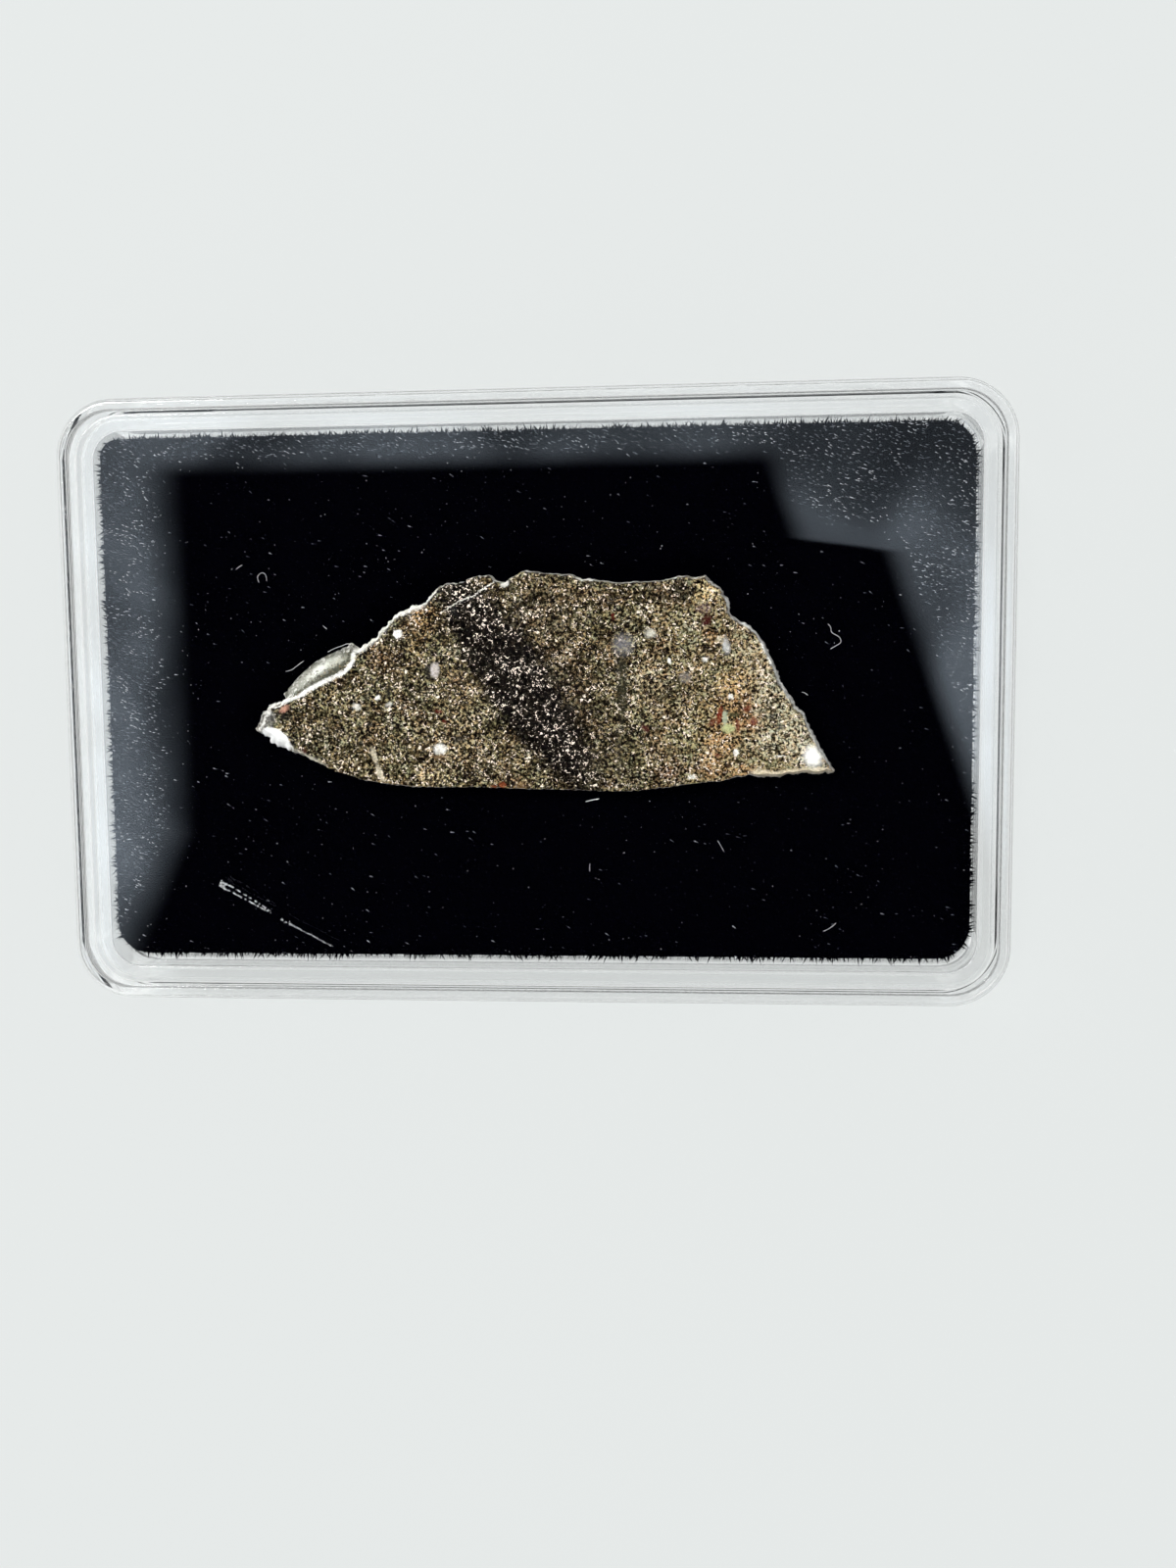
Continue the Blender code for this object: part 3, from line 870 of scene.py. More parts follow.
# The glassy swelling and the grey knob at the left end
LEFT_END = (
    (-14.75, 2.10, 3.0, 1.00, 31, 0.12, 1.0, (0.068, 0.070, 0.050)),
    (-14.95, 2.00, 1.9, 0.42, 33, 0.8, 0.9, (0.42, 0.42, 0.36)),
    (-14.6, 2.25, 0.9, 0.22, 34, 0.8, 0.9, (0.80, 0.82, 0.76)),
    (-13.45, 2.75, 0.8, 0.28, 20, 0.7, 0.8, (0.50, 0.50, 0.42)),
    (-16.4, 0.75, 0.7, 0.22, 40, 0.7, 0.5, (0.30, 0.32, 0.27)),
    (-18.55, -1.2, 0.85, 0.80, 0, 0.2, 0.7, (0.20, 0.195, 0.18)),
    (-18.7, -1.5, 0.5, 0.12, 60, 0.6, 0.8, WHITE),
    (-18.3, -0.75, 0.4, 0.10, -20, 0.6, 0.7, WHITE),
    (-17.95, -1.15, 0.12, 0.45, 20, 0.5, 0.85, DARK),
)
# Painted highlights: the white glint on the chip at the left tip and the glint at the right tip
PAINTED_GLINTS = (
    (-17.85, -2.62, 1.15, 0.75, -27, 0.12, 1.0, (1.0, 1.0, 0.99)),
    (19.05, -3.9, 0.50, 0.6, 20, 0.75, 1.0, (1.0, 0.99, 0.95)),
)
# Each stroke: half width, softness, strength, colour, and the points it runs through
# The white strokes along the upper left and right rims are partly pale broken stone and partly a
# painted glow of the bright edge
STROKES = (
    (0.30, 0.6, 1.0, (0.98, 0.95, 0.88), (-12.0, 3.55), (-11.3, 3.95), (-10.5, 4.6),
     (-9.85, 5.5), (-9.05, 6.1), (-8.2, 6.4), (-7.3, 6.6)),
    (0.14, 0.6, 0.95, (0.95, 0.94, 0.90), (-17.3, 0.0), (-16.02, 0.35), (-15.37, 0.8),
     (-14.5, 1.25), (-13.35, 1.74), (-12.7, 2.1), (-12.18, 2.73), (-12.1, 3.4)),
    (0.045, 0.5, 0.75, (0.86, 0.83, 0.76), (-2.32, 8.0), (-3.1, 7.55), (-3.7, 7.1),
     (-4.6, 6.8), (-5.7, 6.15)),
    (0.17, 0.6, 0.8, (0.46, 0.43, 0.36), (-16.6, -3.3), (-15.7, -3.75), (-14.5, -4.3)),
    (0.10, 0.6, 0.9, (1.00, 1.00, 0.96), (13.1, 7.2), (13.7, 5.6), (15.3, 4.4), (16.5, 2.0),
     (17.3, 0.3), (18.4, -1.0), (19.2, -2.8), (20.1, -4.3)),
    (0.26, 0.5, 0.85, (0.74, 0.64, 0.47), (15.2, -5.0), (16.6, -5.15), (18.3, -4.95),
     (20.3, -4.9)),
)


def stroke_spots(stroke):
    """Each part of a stroke is one long thin spot."""
    width, soft, strength, color, *points = stroke
    spots = []
    for start, end in zip(points, points[1:]):
        run = Vector(end) - Vector(start)
        x, y = (Vector(start) + Vector(end)) / 2
        turn = math.degrees(math.atan2(run.y, run.x))
        spots.append((x, y, run.length * 0.62, width, turn, soft, strength, color))
    return spots


print(len(STAINS), "stains,", len(CLASTS), "fragments and", len(STROKES), "strokes")


# %% Breccia material
def spot_mask(tree, place, spot):
    """The mask of one spot."""
    x, y, along, across, turn, soft = spot[:6]
    c, s = math.cos(math.radians(turn)), math.sin(math.radians(turn))
    group = add(
        tree, "ShaderNodeGroup", {"node_tree": spot_group},
        {"Position": place, "Centre": (x, y, 0.0), "Along": (c / along, s / along, 0.0),
         "Across": (-s / across, c / across, 0.0), "Softness": soft},
    )
    return group.outputs["Mask"]


def lay_spots(tree, place, color, spots, wear=None):
    """Blend a list of spots over a colour. Wear is a mask that breaks them up."""
    for spot in spots:
        mask = math_of(tree, "MULTIPLY", spot_mask(tree, place, spot), spot[6])
        if wear is not None:
            mask = math_of(tree, "MULTIPLY", mask, wear)
        color = mix_of(tree, mask, color, spot[7])
    return color


def stirred(tree, place, scale, amount):
    """Positions pushed about by noise, which gives the spots ragged edges."""
    clouds = add(
        tree, "ShaderNodeTexNoise", None,
        {"Vector": place, "Scale": scale, "Detail": 3.0, "Roughness": 0.65},
    ).outputs["Color"]
    shift = add(
        tree, "ShaderNodeVectorMath", {"operation": "MULTIPLY_ADD"},
        {0: clouds, 1: (amount, amount, 0.0), 2: (-amount / 2, -amount / 2, 0.0)},
    ).outputs[0]
    return add(tree, "ShaderNodeVectorMath", {"operation": "ADD"}, {0: place, 1: shift}).outputs[0]


DARK_BAND = (-1.0, 1.4, 9.5, 2.35, -57.0, 0.27)
TONES = (
    (0.400, (0.002, 0.001, 0.001)), (0.462, (0.034, 0.026, 0.016)),
    (0.500, (0.082, 0.067, 0.042)), (0.538, (0.170, 0.143, 0.094)),
    (0.586, (0.495, 0.436, 0.325)), (0.635, (1.000, 0.905, 0.755)),
)


def make_breccia():
    material, tree, shader, place = new_material("lunar_breccia")
    broken = add(
        tree, "ShaderNodeAttribute", {"attribute_name": "rim_share"}
    ).outputs["Fac"]
    stirred_wide = stirred(tree, place, 1.2, 2.4)
    stirred_small = stirred(tree, place, 4.5, 0.45)
    stirred_fine = stirred(tree, place, 7.0, 0.40)

    ground = ramp_of(tree, noise_of(tree, place, 0.5, 4.0, 0.65), (
        (0.32, (0.118, 0.088, 0.060)), (0.46, (0.112, 0.097, 0.063)),
        (0.56, (0.116, 0.113, 0.073)), (0.68, (0.138, 0.131, 0.104)),
    ))
    ground = lay_spots(tree, stirred_wide, ground, STAINS)
    band = spot_mask(tree, stirred_wide, DARK_BAND)
    ground = mix_of(tree, math_of(tree, "MULTIPLY", band, 0.95), ground, (0.005, 0.004, 0.004))

    to_right = add(
        tree, "ShaderNodeVectorMath", {"operation": "DOT_PRODUCT"},
        {0: stirred_wide, 1: (1.0, 0.0, 0.0)},
    ).outputs["Value"]
    calm = step_of(tree, to_right, 5.0, 16.0)
    patch = math_of(tree, "SUBTRACT", noise_of(tree, place, 0.8, 3.0, 0.6), 0.5)
    grain = math_of(tree, "SUBTRACT", noise_of(tree, place, 5.2, 3.0, 0.8, 0.3), 0.5)
    swing = step_of(tree, noise_of(tree, place, 1.1, 2.0, 0.5), 0.36, 0.64, 0.95, 1.95)
    shift = math_of(tree, "ADD", math_of(tree, "MULTIPLY", patch, 0.13),
                    math_of(tree, "MULTIPLY", calm, 0.066))
    matrix = math_of(tree, "ADD", math_of(tree, "MULTIPLY", grain, swing), 0.5)
    matrix = math_of(tree, "ADD", matrix, shift)
    cast = ramp_of(tree, noise_of(tree, stirred_fine, 3.0, 2.0, 0.6), (
        (0.38, (1.14, 0.96, 0.86)), (0.50, (0.98, 1.0, 0.98)), (0.62, (0.88, 1.02, 1.18)),
    ))
    tone = mix_of(tree, 1.0, ramp_of(tree, matrix, TONES), ground, "MULTIPLY")
    tone = mix_of(tree, 1.0, tone, cast, "MULTIPLY")
    color = add(
        tree, "ShaderNodeVectorMath", {"operation": "SCALE"}, {0: tone, "Scale": 3.0}
    ).outputs[0]
    color = add(
        tree, "ShaderNodeVectorMath", {"operation": "MINIMUM"}, {0: color, 1: (0.9, 0.88, 0.84)}
    ).outputs[0]

    specks = noise_of(tree, place, 5.4, 2.0, 0.6, 0.8)
    more = math_of(tree, "ADD", math_of(tree, "MULTIPLY", band, 0.010),
                   math_of(tree, "MULTIPLY", patch, 0.26))
    light = step_of(tree, math_of(tree, "ADD", specks, more), 0.620, 0.660)
    lumps = noise_of(tree, stirred_small, 3.0, 2.0, 0.6)
    # Near-black specks where the lumps noise is low, fewer in the band and the patches
    dark_specks = math_of(tree, "SUBTRACT", lumps, math_of(tree, "MULTIPLY", band, 0.05))
    dark_specks = math_of(tree, "ADD", dark_specks, math_of(tree, "MULTIPLY", patch, 0.2))
    dark = step_of(tree, dark_specks, 0.425, 0.380)
    color = mix_of(tree, math_of(tree, "MULTIPLY", dark, 0.9), color, (0.004, 0.003, 0.003))
    color = mix_of(tree, math_of(tree, "MULTIPLY", light, 0.95), color, (0.92, 0.79, 0.68))
    wear = step_of(tree, specks, 0.40, 0.54, 0.25, 1.0)
    color = lay_spots(tree, stirred_fine, color, CLASTS,
                      math_of(tree, "POWER", wear, 0.4))

    fine = math_of(tree, "SUBTRACT", noise_of(tree, place, 5.0, 2.0, 0.6), 0.5)
    rim = step_of(tree, math_of(tree, "ADD", broken, math_of(tree, "MULTIPLY", fine, 0.8)),
                  0.78, 0.60)
    # The broken rim: partly its own crumbly white, partly a painted glow of the thin translucent
    # edge
    rim_white_and_glow = ramp_of(tree, lumps, (
        (0.40, (0.05, 0.043, 0.033)), (0.47, (0.32, 0.29, 0.24)), (0.53, (1.00, 0.98, 0.94)),
    ))
    color = mix_of(tree, math_of(tree, "MULTIPLY", rim, 0.9), color, rim_white_and_glow)
    color = lay_spots(tree, stirred_fine, color, LEFT_END, wear)
    for stroke in STROKES:
        color = lay_spots(tree, stirred_fine, color, stroke_spots(stroke),
                          math_of(tree, "POWER", wear, 0.4))
    # Painted highlights: the white glints on the left chip and at the right tip
    color = lay_spots(tree, stirred_small, color, PAINTED_GLINTS)
    tree.links.new(color, shader.inputs["Base Color"])

    gloss = step_of(tree, matrix, 0.40, 0.60, 0.05, 0.12)
    rough = math_of(tree, "ADD", gloss, math_of(tree, "MULTIPLY", rim, 0.3))
    tree.links.new(rough, shader.inputs["Roughness"])
    shader.inputs["Specular IOR Level"].default_value = 0.2
    relief = math_of(tree, "MULTIPLY", specks, step_of(tree, broken, 0.9, 1.0, 1.0, 0.06))
    tree.links.new(bump_of(tree, relief, 0.7, 0.12 * MM), shader.inputs["Normal"])
    return material


breccia = make_breccia()
rock = make_object("breccia_slice", slice_points, slice_faces, breccia)
shares = rock.data.attributes.new("rim_share", "FLOAT", "POINT")
shares.data.foreach_set("value", slice_shares)
rock.data.shade_smooth()
rock.data.set_sharp_from_angle(angle=math.radians(50))
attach(rock, "root")
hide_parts("meteorite_slice")
print("slice points kept:", len(rock.data.vertices), "of", len(slice_points))

# %% [markdown]
# ## The flocked pad
# The pad is soft foam covered in short black fibres. A box with a dark colour would look like
# painted card. Here the pad is a closed soft form: it is nearly flat, swells a little, rounds off
# at its edge and sinks where the stone presses into it. The fibres are real geometry too, because
# against the clear edge of the case one sees each of them stick out. One upper corner was cut
# less round than the others.

# %% Pad form
PAD_LENGTH = 59.3
PAD_WIDTH = 35.9
PAD_SHIFT = 0.2
PAD_TOP = 5.97
PAD_FLOOR = 1.6
PAD_ROUND = 0.35
PAD_RADII = (2.2, 1.3, 2.2, 2.2)
PAD_STEP = 0.4
HOLLOW_FLOOR = 4.36
HOLLOW_WIDTH = 1.5


def pad_outline(inset):
    """Points round the pad, counter-clockwise from its right side, in even steps."""
    signs = ((1, 1), (-1, 1), (-1, -1), (1, -1))
    corners = []
    for quarter, ((sx, sy), radius) in enumerate(zip(signs, PAD_RADII)):
        centre = Vector((sx * (PAD_LENGTH / 2 - radius), sy * (PAD_WIDTH / 2 - radius)))
        for step in range(9):
            angle = math.pi / 2 * (quarter + step / 8)
            bend = radius - inset
            corners.append(centre + bend * Vector((math.cos(angle), math.sin(angle))))
    ring = []
    for start, end in zip(corners, corners[1:] + corners[:1]):
        steps = max(1, round((end - start).length / PAD_STEP))
        ring += [start.lerp(end, step / steps) for step in range(steps)]
    return [(p.x, p.y + PAD_SHIFT) for p in ring]


def pad_height(x, y, outside):
    """Height of the pad's surface, given the distance outside the slice's edge."""
    share = min(1.0, max(0.0, outside / HOLLOW_WIDTH))
    rise = share * share * (3 - 2 * share)
    swell = 0.02 * noise_at(x, y, 0.0, 6.0, 1.0) + 0.012 * noise_at(x, y, 0.0, 1.3, 8.0)
    return HOLLOW_FLOOR + (PAD_TOP - HOLLOW_FLOOR) * rise + swell * share


def make_pad_mesh():
    rim = pad_outline(PAD_ROUND)
    count = len(rim)
    xs = np.arange(-PAD_LENGTH / 2, PAD_LENGTH / 2, PAD_STEP)
    ys = np.arange(-PAD_WIDTH / 2, PAD_WIDTH / 2, PAD_STEP) + PAD_SHIFT
    grid = np.array([(x, y) for x in xs for y in ys])
    grid = grid[inside_of(np.array(pad_outline(PAD_ROUND + 0.2)), grid)]
    flat, faces = fill_net(np.array(rim)[::-1], grid)
    reach, _ = edge_reach(flat)
    points = [(x, y, pad_height(x, y, -reach[i])) for i, (x, y) in enumerate(flat)]
    used = sorted({i for face in faces for i in face} | set(range(count)))
    number = {old: new for new, old in enumerate(used)}
    points = [points[i] for i in used]
    faces = [tuple(number[i] for i in face) for face in faces]

    previous = list(range(count))
    profile = [
        (PAD_ROUND * (1 - math.sin(a)), PAD_TOP - PAD_ROUND * (1 - math.cos(a)))
        for a in (0.4, 0.8, 1.2, math.pi / 2)
    ]
    profile += [(0.0, h) for h in (5.2, 4.6, 3.9, 3.2, 2.5)]
    profile += [(0.05, 1.9), (0.15, 1.7), (0.4, PAD_FLOOR)]
    for inset, height in profile:
        outline = pad_outline(inset)[::-1]
        ring = []
        for x, y in outline:
            sag = 0.05 + 0.05 * noise_at(x, y, height, 2.2, 4.0)
            sag += 0.06 * max(0.0, noise_at(x, y, height, 0.7, 6.0))
            ring.append(len(points))
            points.append((x * (1 - sag / 30), y * (1 - sag / 18), height))
        for i in range(count):
            j = (i + 1) % count
            faces.append((previous[i], previous[j], ring[j], ring[i]))
        previous = ring
    faces.append(tuple(previous))
    return points, faces


pad_points, pad_faces = make_pad_mesh()
print("pad:", len(pad_points), "points,", len(pad_faces), "faces")


# %% Flock material and pad
def make_flock(name, color, sheen):
    """Black fibre: very dark, with a faint grey shine from the ends of the fibres."""
    material, tree, shader, place = new_material(name)
    tips = noise_of(tree, place, 7.0, 3.0, 0.7)
    lighter = tuple(c * 2.0 + 0.0003 for c in color)
    tint = mix_of(tree, step_of(tree, tips, 0.55, 0.72), color, lighter)
    tree.links.new(tint, shader.inputs["Base Color"])
    tree.links.new(bump_of(tree, tips, 0.9, 0.12 * MM), shader.inputs["Normal"])
    shader.inputs["Roughness"].default_value = 0.9
    shader.inputs["Specular IOR Level"].default_value = 0.0
    shader.inputs["Sheen Weight"].default_value = sheen
    shader.inputs["Sheen Roughness"].default_value = 0.5
    return material


black_flock = make_flock("black_flock", (0.0003, 0.0003, 0.0008), 0.001)
pad = make_object("flocked_pad", pad_points, pad_faces, black_flock)
pad.data.shade_smooth()
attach(pad, "root")
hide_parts("backing_pad")

# %% [markdown]
# ## Fibres and lint
# Thousands of fibres are one small spike, repeated. Geometry Nodes are made for that: they
# scatter points over the pad, stand a spike on each, and tilt and shorten it by chance. The same
# tree, with other values, scatters the specks of lint. The number of fibres follows a value
# stored on the pad's points, so the fringe is dense and the ground under the stone stays bare.

# %% Scatter tree
def make_scatter_tree():
    tree = bpy.data.node_groups.new("scatter", "GeometryNodeTree")
    for name, kind in (
        ("Geometry", "NodeSocketGeometry"), ("Spikes", "NodeSocketBool"),
        ("Density", "NodeSocketFloat"), ("Length", "NodeSocketFloat"),
        ("Thickness", "NodeSocketFloat"), ("Shortest", "NodeSocketFloat"),
        ("Tilt", "NodeSocketFloat"), ("Lying", "NodeSocketBool"), ("Seed", "NodeSocketInt"),
        ("Material", "NodeSocketMaterial"),
    ):
        tree.interface.new_socket(name=name, in_out="INPUT", socket_type=kind)
    tree.interface.new_socket(name="Geometry", in_out="OUTPUT", socket_type="NodeSocketGeometry")
    start = tree.nodes.new("NodeGroupInput")
    given = start.outputs
    share = add(
        tree, "GeometryNodeInputNamedAttribute", {"data_type": "FLOAT"}, {"Name": "flock_share"}
    ).outputs["Attribute"]
    density = add(
        tree, "ShaderNodeMath", {"operation": "MULTIPLY"}, {0: share, 1: given["Density"]}
    ).outputs[0]
    spread = add(
        tree, "GeometryNodeDistributePointsOnFaces", None,
        {"Mesh": given["Geometry"], "Density": density, "Seed": given["Seed"]},
    )
    spike = add(
        tree, "GeometryNodeMeshCone", None,
        {"Vertices": 3, "Radius Top": 0.0, "Radius Bottom": given["Thickness"],
         "Depth": given["Length"]},
    ).outputs["Mesh"]
    ball = add(
        tree, "GeometryNodeMeshIcoSphere", None,
        {"Radius": given["Thickness"], "Subdivisions": 1},
    ).outputs["Mesh"]
    shape = add(
        tree, "GeometryNodeSwitch", {"input_type": "GEOMETRY"},
        {"Switch": given["Spikes"], "False": ball, "True": spike},
    ).outputs[0]
    negative = add(
        tree, "ShaderNodeMath", {"operation": "MULTIPLY"}, {0: given["Tilt"], 1: -1.0}
    ).outputs[0]
    ends = [
        add(tree, "ShaderNodeCombineXYZ", None, {0: value, 1: value, 2: spin}).outputs[0]
        for value, spin in ((negative, 0.0), (given["Tilt"], 6.283))
    ]
    lean = add(
        tree, "FunctionNodeRandomValue", {"data_type": "FLOAT_VECTOR"},
        {0: ends[0], 1: ends[1], "Seed": given["Seed"]},
    ).outputs[0]
    pose = add(
        tree, "GeometryNodeSwitch", {"input_type": "VECTOR"},
        {"Switch": given["Lying"], "False": spread.outputs["Rotation"],
         "True": (0.0, math.pi / 2, -0.35)},
    ).outputs[0]
    turn = add(
        tree, "FunctionNodeRotateEuler", {"rotation_type": "EULER", "space": "LOCAL"},
        {"Rotation": pose, "Rotate By": lean},
    ).outputs[0]
    size = add(
        tree, "FunctionNodeRandomValue", {"data_type": "FLOAT"},
        {2: given["Shortest"], 3: 1.0, "Seed": given["Seed"]},
    ).outputs[1]
    scale = add(tree, "ShaderNodeCombineXYZ", None, {0: 1.0, 1: 1.0, 2: size}).outputs[0]
    flat = add(tree, "ShaderNodeCombineXYZ", None, {0: size, 1: size, 2: size}).outputs[0]
    scale = add(
        tree, "GeometryNodeSwitch", {"input_type": "VECTOR"},
        {"Switch": given["Spikes"], "False": flat, "True": scale},
    ).outputs[0]
    placed = add(
        tree, "GeometryNodeInstanceOnPoints", None,
        {"Points": spread.outputs["Points"], "Instance": shape, "Rotation": turn,
         "Scale": scale},
    ).outputs[0]
    real = add(tree, "GeometryNodeRealizeInstances", None, {0: placed}).outputs[0]
    painted = add(
        tree, "GeometryNodeSetMaterial", None,
        {"Geometry": real, "Material": given["Material"]},
    ).outputs[0]
    end = tree.nodes.new("NodeGroupOutput")
    tree.links.new(painted, end.inputs[0])
    return tree


def run_tree(name, tree, source, values):
    """Evaluate a Geometry Nodes tree on a copy of a mesh and keep the plain result."""
    carrier = bpy.data.objects.new(name, source.copy())
    bpy.context.scene.collection.objects.link(carrier)
    modifier = carrier.modifiers.new("nodes", "NODES")
    modifier.node_group = tree
    sockets = {s.name: s.identifier for s in tree.interface.items_tree if s.in_out == "INPUT"}
    for key, value in values.items():
        modifier[sockets[key]] = value
    evaluated = carrier.evaluated_get(bpy.context.evaluated_depsgraph_get())
    mesh = bpy.data.meshes.new_from_object(evaluated)
    carrier.modifiers.clear()
    carrier.data = mesh
    mesh.name = name
    return carrier


scatter_tree = make_scatter_tree()
print("scatter tree:", len(scatter_tree.nodes), "nodes")

# %% Where the fibres grow
TOP_SHARE = 0.22


def at_rim(x, y):
    return max(abs(x) - PAD_LENGTH / 2, abs(y - PAD_SHIFT) - PAD_WIDTH / 2) > -0.5


def nap_share(x, y, z):
    """The nap: dense at the rim and thin on top."""
    return 1.0 if at_rim(x, y) and z > 4.6 else (TOP_SHARE if z > 4.4 else 0.0)


def fringe_share(x, y, z):
    """The hairs that hang over the edge, in tufts."""
    tuft = 0.4 + 1.6 * noise_at(x, y, 0.0, 0.7, 3.0)
    return min(1.0, max(0.10, tuft)) if at_rim(x, y) and z > 5.4 else 0.0


def dust_and_glint_share(x, y, z):
    """Pale fibre ends, partly dust and partly painted glints where the light catches them: many
    near the left, upper and right edges, few in the middle.
    """
    left = -25.4 - 0.47 * max(0.0, -9.0 - y) - x
    right = x - 28.0 + 0.35 * y + (6.0 if y > 11.8 else 0.0)
    return min(1.0, max(0.02, left, right, 1.5 * (y - 16.3))) if z > 5.2 else 0.0


def lint_share(x, y, z):
    return TOP_SHARE if z > 5.5 else 0.0


stone_reach, _ = edge_reach([(v.co.x / MM, v.co.y / MM) for v in pad.data.vertices])


def mark_flock(share_of):
    """Store how dense the fibres are on the pad's points, none under the stone."""
    shares = [
        0.0 if inside > -0.2 else share_of(*(vertex.co / MM))
        for vertex, inside in zip(pad.data.vertices, stone_reach)
    ]
    kept = pad.data.attributes.get("flock_share")
    kept = kept or pad.data.attributes.new("flock_share", "FLOAT", "POINT")
    kept.data.foreach_set("value", shares)


# %% Fibres, dust with painted glints, and lint
def make_speck_material(name, stops):
    """Dust, painted fibre glints and lint: each speck its own grey, and a few of them white."""
    material, tree, shader, place = new_material(name)
    chance = add(
        tree, "ShaderNodeTexVoronoi", {"feature": "F1"}, {"Vector": place, "Scale": 1.3}
    ).outputs["Color"]
    chance = add(tree, "ShaderNodeSeparateColor", None, {0: chance}).outputs[0]
    tree.links.new(ramp_of(tree, chance, stops), shader.inputs["Base Color"])
    shader.inputs["Roughness"].default_value = 0.8
    return material


fibre_black = make_flock("flock_fibre", (0.0008, 0.0008, 0.0014), 0.0)
# Pale specks: partly dust, partly painted glints of fibre ends that catch the light
pale_dust_and_glints = make_speck_material("pale_dust_and_glints", (
    (0.0, (0.12, 0.13, 0.16)), (0.6, (0.30, 0.33, 0.38)), (0.9, (0.90, 0.93, 0.98)),
))
white_lint = make_speck_material("white_lint", (
    (0.0, (0.05, 0.05, 0.07)), (0.5, (0.14, 0.14, 0.17)), (0.80, (0.50, 0.50, 0.54)),
    (0.95, (0.98, 0.98, 0.98)),
))
# Each run: name, share, spikes, density per mm2, length, thickness, shortest, tilt, lift, paint
SCATTERS = (
    ("pad_flock", nap_share, True, 26.0, 0.50, 0.018, 0.35, 0.75, 0.0, fibre_black),
    ("pad_fringe", fringe_share, True, 20.0, 0.60, 0.075, 0.30, 0.70, 0.0, fibre_black),
    # The pale specks are partly dust and partly painted glints of fibre ends where the light
    # catches them.
    ("pad_dust_and_glints", dust_and_glint_share, True, 9.0, 0.34, 0.020, 0.30, 0.35, 0.06, pale_dust_and_glints),
    ("pad_lint", lint_share, False, 2.4, 0.10, 0.034, 0.40, 3.00, 0.12, white_lint),
)
for number, row in enumerate(SCATTERS):
    name, share_of, spikes, density, length, thick, shortest, tilt, lift, paint = row
    mark_flock(share_of)
    piece = run_tree(name, scatter_tree, pad.data, {
        "Spikes": spikes, "Density": density / MM ** 2, "Length": length * MM,
        "Thickness": thick * MM, "Shortest": shortest, "Tilt": tilt, "Seed": 4 + number,
        "Lying": name == "pad_dust_and_glints", "Material": paint,
    })
    piece.data.transform(Matrix.Translation((0.0, 0.0, lift * MM)))
    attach(piece, "root")
    print(name, len(piece.data.polygons), "faces")

# %% Loose fibres
LOOSE_FIBRES = (
    (0.014, (20.0, 4.9), (20.22, 4.75), (20.2, 4.35), (20.5, 4.2), (20.84, 4.0),
     (20.88, 3.65), (20.5, 3.45), (20.2, 3.27)),
    (0.013, (-18.55, 8.2), (-18.7, 8.5), (-18.5, 8.82), (-18.2, 8.85), (-18.0, 8.6),
     (-18.05, 8.3)),
    (0.013, (-20.15, 9.1), (-19.95, 9.25), (-19.7, 9.38)),
    (0.012, (-16.85, 2.1), (-16.5, 2.15), (-16.1, 2.45), (-15.6, 2.8)),
    (0.013, (-13.9, 3.4), (-13.4, 3.65), (-12.9, 3.8), (-12.4, 4.0), (-12.25, 3.85)),
    (0.022, (3.75, -6.93), (4.2, -6.8), (4.65, -6.73)),
    (0.013, (19.8, -15.75), (20.3, -15.6), (20.65, -15.2)),
    (0.012, (18.3, 0.4), (18.5, 0.4), (18.7, 0.2)),
    (0.012, (-14.2, 5.2), (-14.0, 5.05), (-13.9, 4.95)),
    (0.012, (4.0, -11.2), (3.95, -11.5), (4.0, -11.7)),
    (0.011, (12.7, -9.6), (12.9, -9.9), (13.1, -10.3)),
)


def make_loose_fibres():
    curve = bpy.data.curves.new("loose_fibres", "CURVE")
    curve.dimensions = "3D"
    curve.bevel_depth = MM
    curve.bevel_resolution = 1
    curve.resolution_u = 4
    for radius, *spots in LOOSE_FIBRES:
        spline = curve.splines.new("NURBS")
        spline.points.add(len(spots) - 1)
        for i, (point, (x, y)) in enumerate(zip(spline.points, spots)):
            height = PAD_TOP + 0.1 + 0.08 * math.sin(2.1 * i + x)
            point.co = (x * MM, y * MM, height * MM, 1.0)
            point.radius = radius
        spline.order_u = 3
        spline.use_endpoint_u = True
    curve.use_fill_caps = True
    carrier = bpy.data.objects.new("loose_fibres", curve)
    bpy.context.scene.collection.objects.link(carrier)
    evaluated = carrier.evaluated_get(bpy.context.evaluated_depsgraph_get())
    mesh = bpy.data.meshes.new_from_object(evaluated)
    bpy.data.objects.remove(carrier)
    piece = bpy.data.objects.new("loose_fibres", mesh)
    bpy.context.scene.collection.objects.link(piece)
    material, tree, shader, place = new_material("white_fibre")
    tint = mix_of(tree, noise_of(tree, place, 2.0), (0.98, 0.98, 0.98), (0.75, 0.75, 0.76))
    tree.links.new(tint, shader.inputs["Base Color"])
    shader.inputs["Roughness"].default_value = 0.6
    mesh.materials.clear()
    mesh.materials.append(material)
    return piece


loose = make_loose_fibres()
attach(loose, "root")
print("loose fibres:", len(LOOSE_FIBRES))

# %% [markdown]
# ## The scratch on the window
# One long scratch crosses the lower left of the window. Something dragged over it and tore the
# plastic up into whitish flakes, wide where it began and thin where it ended. A painted line
# would lie flat, so the torn plastic is made as small flakes along the scratch, standing a few
# hundredths of a millimetre over the window.

# %% Scratch
SCRATCH = ((-21.6, -12.45), (-20.6, -12.95), (-19.5, -13.59), (-18.2, -14.35),
           (-17.12, -15.08), (-15.4, -15.95), (-13.75, -16.84))
FLAKES = 1000
SCRATCH_GAP = (0.46, 0.55)


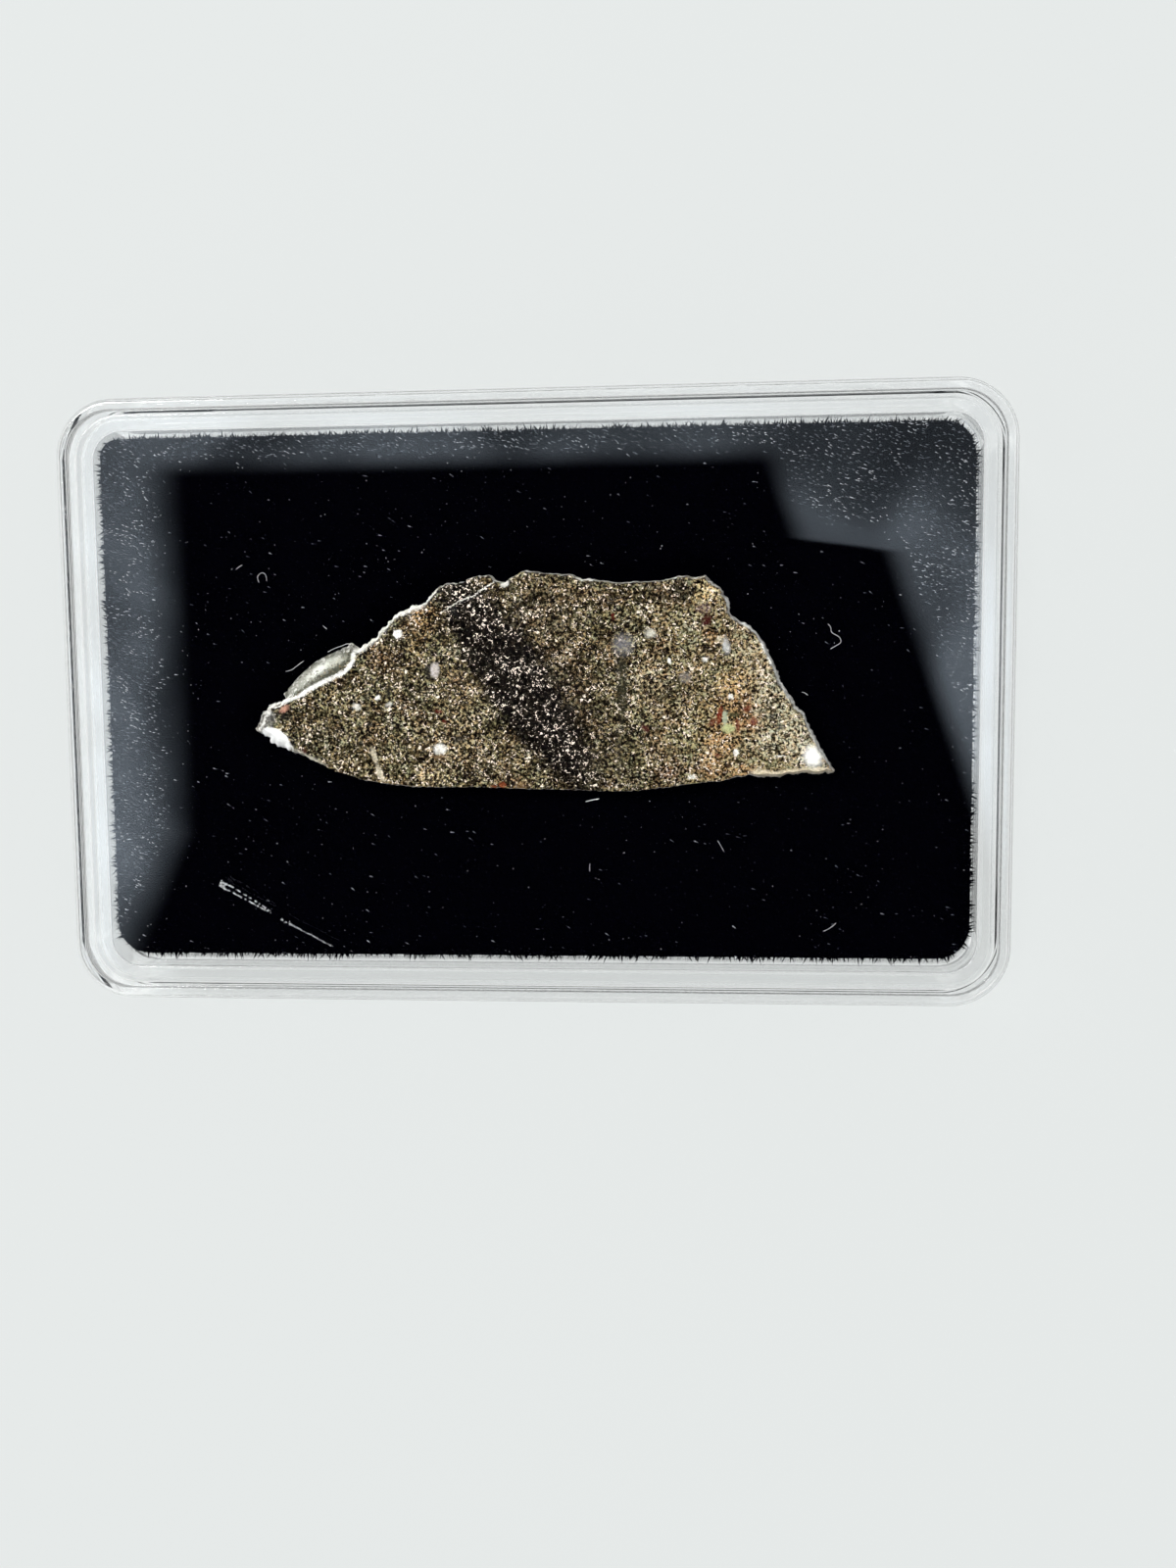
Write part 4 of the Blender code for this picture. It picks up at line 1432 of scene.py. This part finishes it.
def make_scratch():
    chance = random.Random(8)
    knots = [Vector(p) for p in SCRATCH]
    lengths = [(b - a).length for a, b in zip(knots, knots[1:])]
    total = sum(lengths)
    points = []
    faces = []
    for _ in range(FLAKES):
        share = chance.random() ** 1.25
        left = share * total
        for start, end, length in zip(knots, knots[1:], lengths):
            if left <= length:
                break
            left -= length
        run = (end - start).normalized()
        side = Vector((-run.y, run.x))
        width = 0.19 * max(0.0, 1 - share / SCRATCH_GAP[0]) ** 0.6 + 0.02
        if share > SCRATCH_GAP[1]:
            width = 0.09 * (1 - share)
        strand = chance.choice((-1.0, 0.9))
        crumbly = noise_at(share * total, 3.0 * strand, 0.0, 0.3, 3.0) < -0.12
        if SCRATCH_GAP[0] < share < SCRATCH_GAP[1] or (crumbly and share > 0.06):
            continue
        across = strand * width if share > 0.05 else width * chance.uniform(-1.0, 1.0)
        spot = start + run * left + side * (across + chance.gauss(0.0, 0.025))
        size = chance.uniform(0.012, 0.045) * (1.0 - 0.4 * share)
        turn = chance.uniform(0.0, math.tau)
        first = len(points)
        for corner in range(3):
            angle = turn + corner * math.tau / 3 + chance.uniform(-0.4, 0.4)
            stretch = 1.6 if corner == 0 else 0.8
            points.append((
                spot.x + size * stretch * math.cos(angle),
                spot.y + size * stretch * math.sin(angle),
                WINDOW_FRONT + 0.004,
            ))
        points.append((spot.x, spot.y, WINDOW_FRONT + chance.uniform(0.02, 0.05)))
        faces += [
            (first + 2, first + 1, first), (first, first + 1, first + 3),
            (first + 1, first + 2, first + 3), (first + 2, first, first + 3),
        ]
    material, tree, shader, place = new_material("torn_plastic")
    group = add(tree, "ShaderNodeGroup", {"node_tree": scuff_group}, {"Position": place})
    tint = mix_of(tree, group.outputs["Mask"], (0.80, 0.81, 0.82), (0.98, 0.98, 0.98))
    tree.links.new(tint, shader.inputs["Base Color"])
    shader.inputs["Roughness"].default_value = 0.45
    return make_object("window_scratch", points, faces, material)


scratch = make_scratch()
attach(scratch, "root")
print("scratch flakes:", len(scratch.data.polygons) // 4)
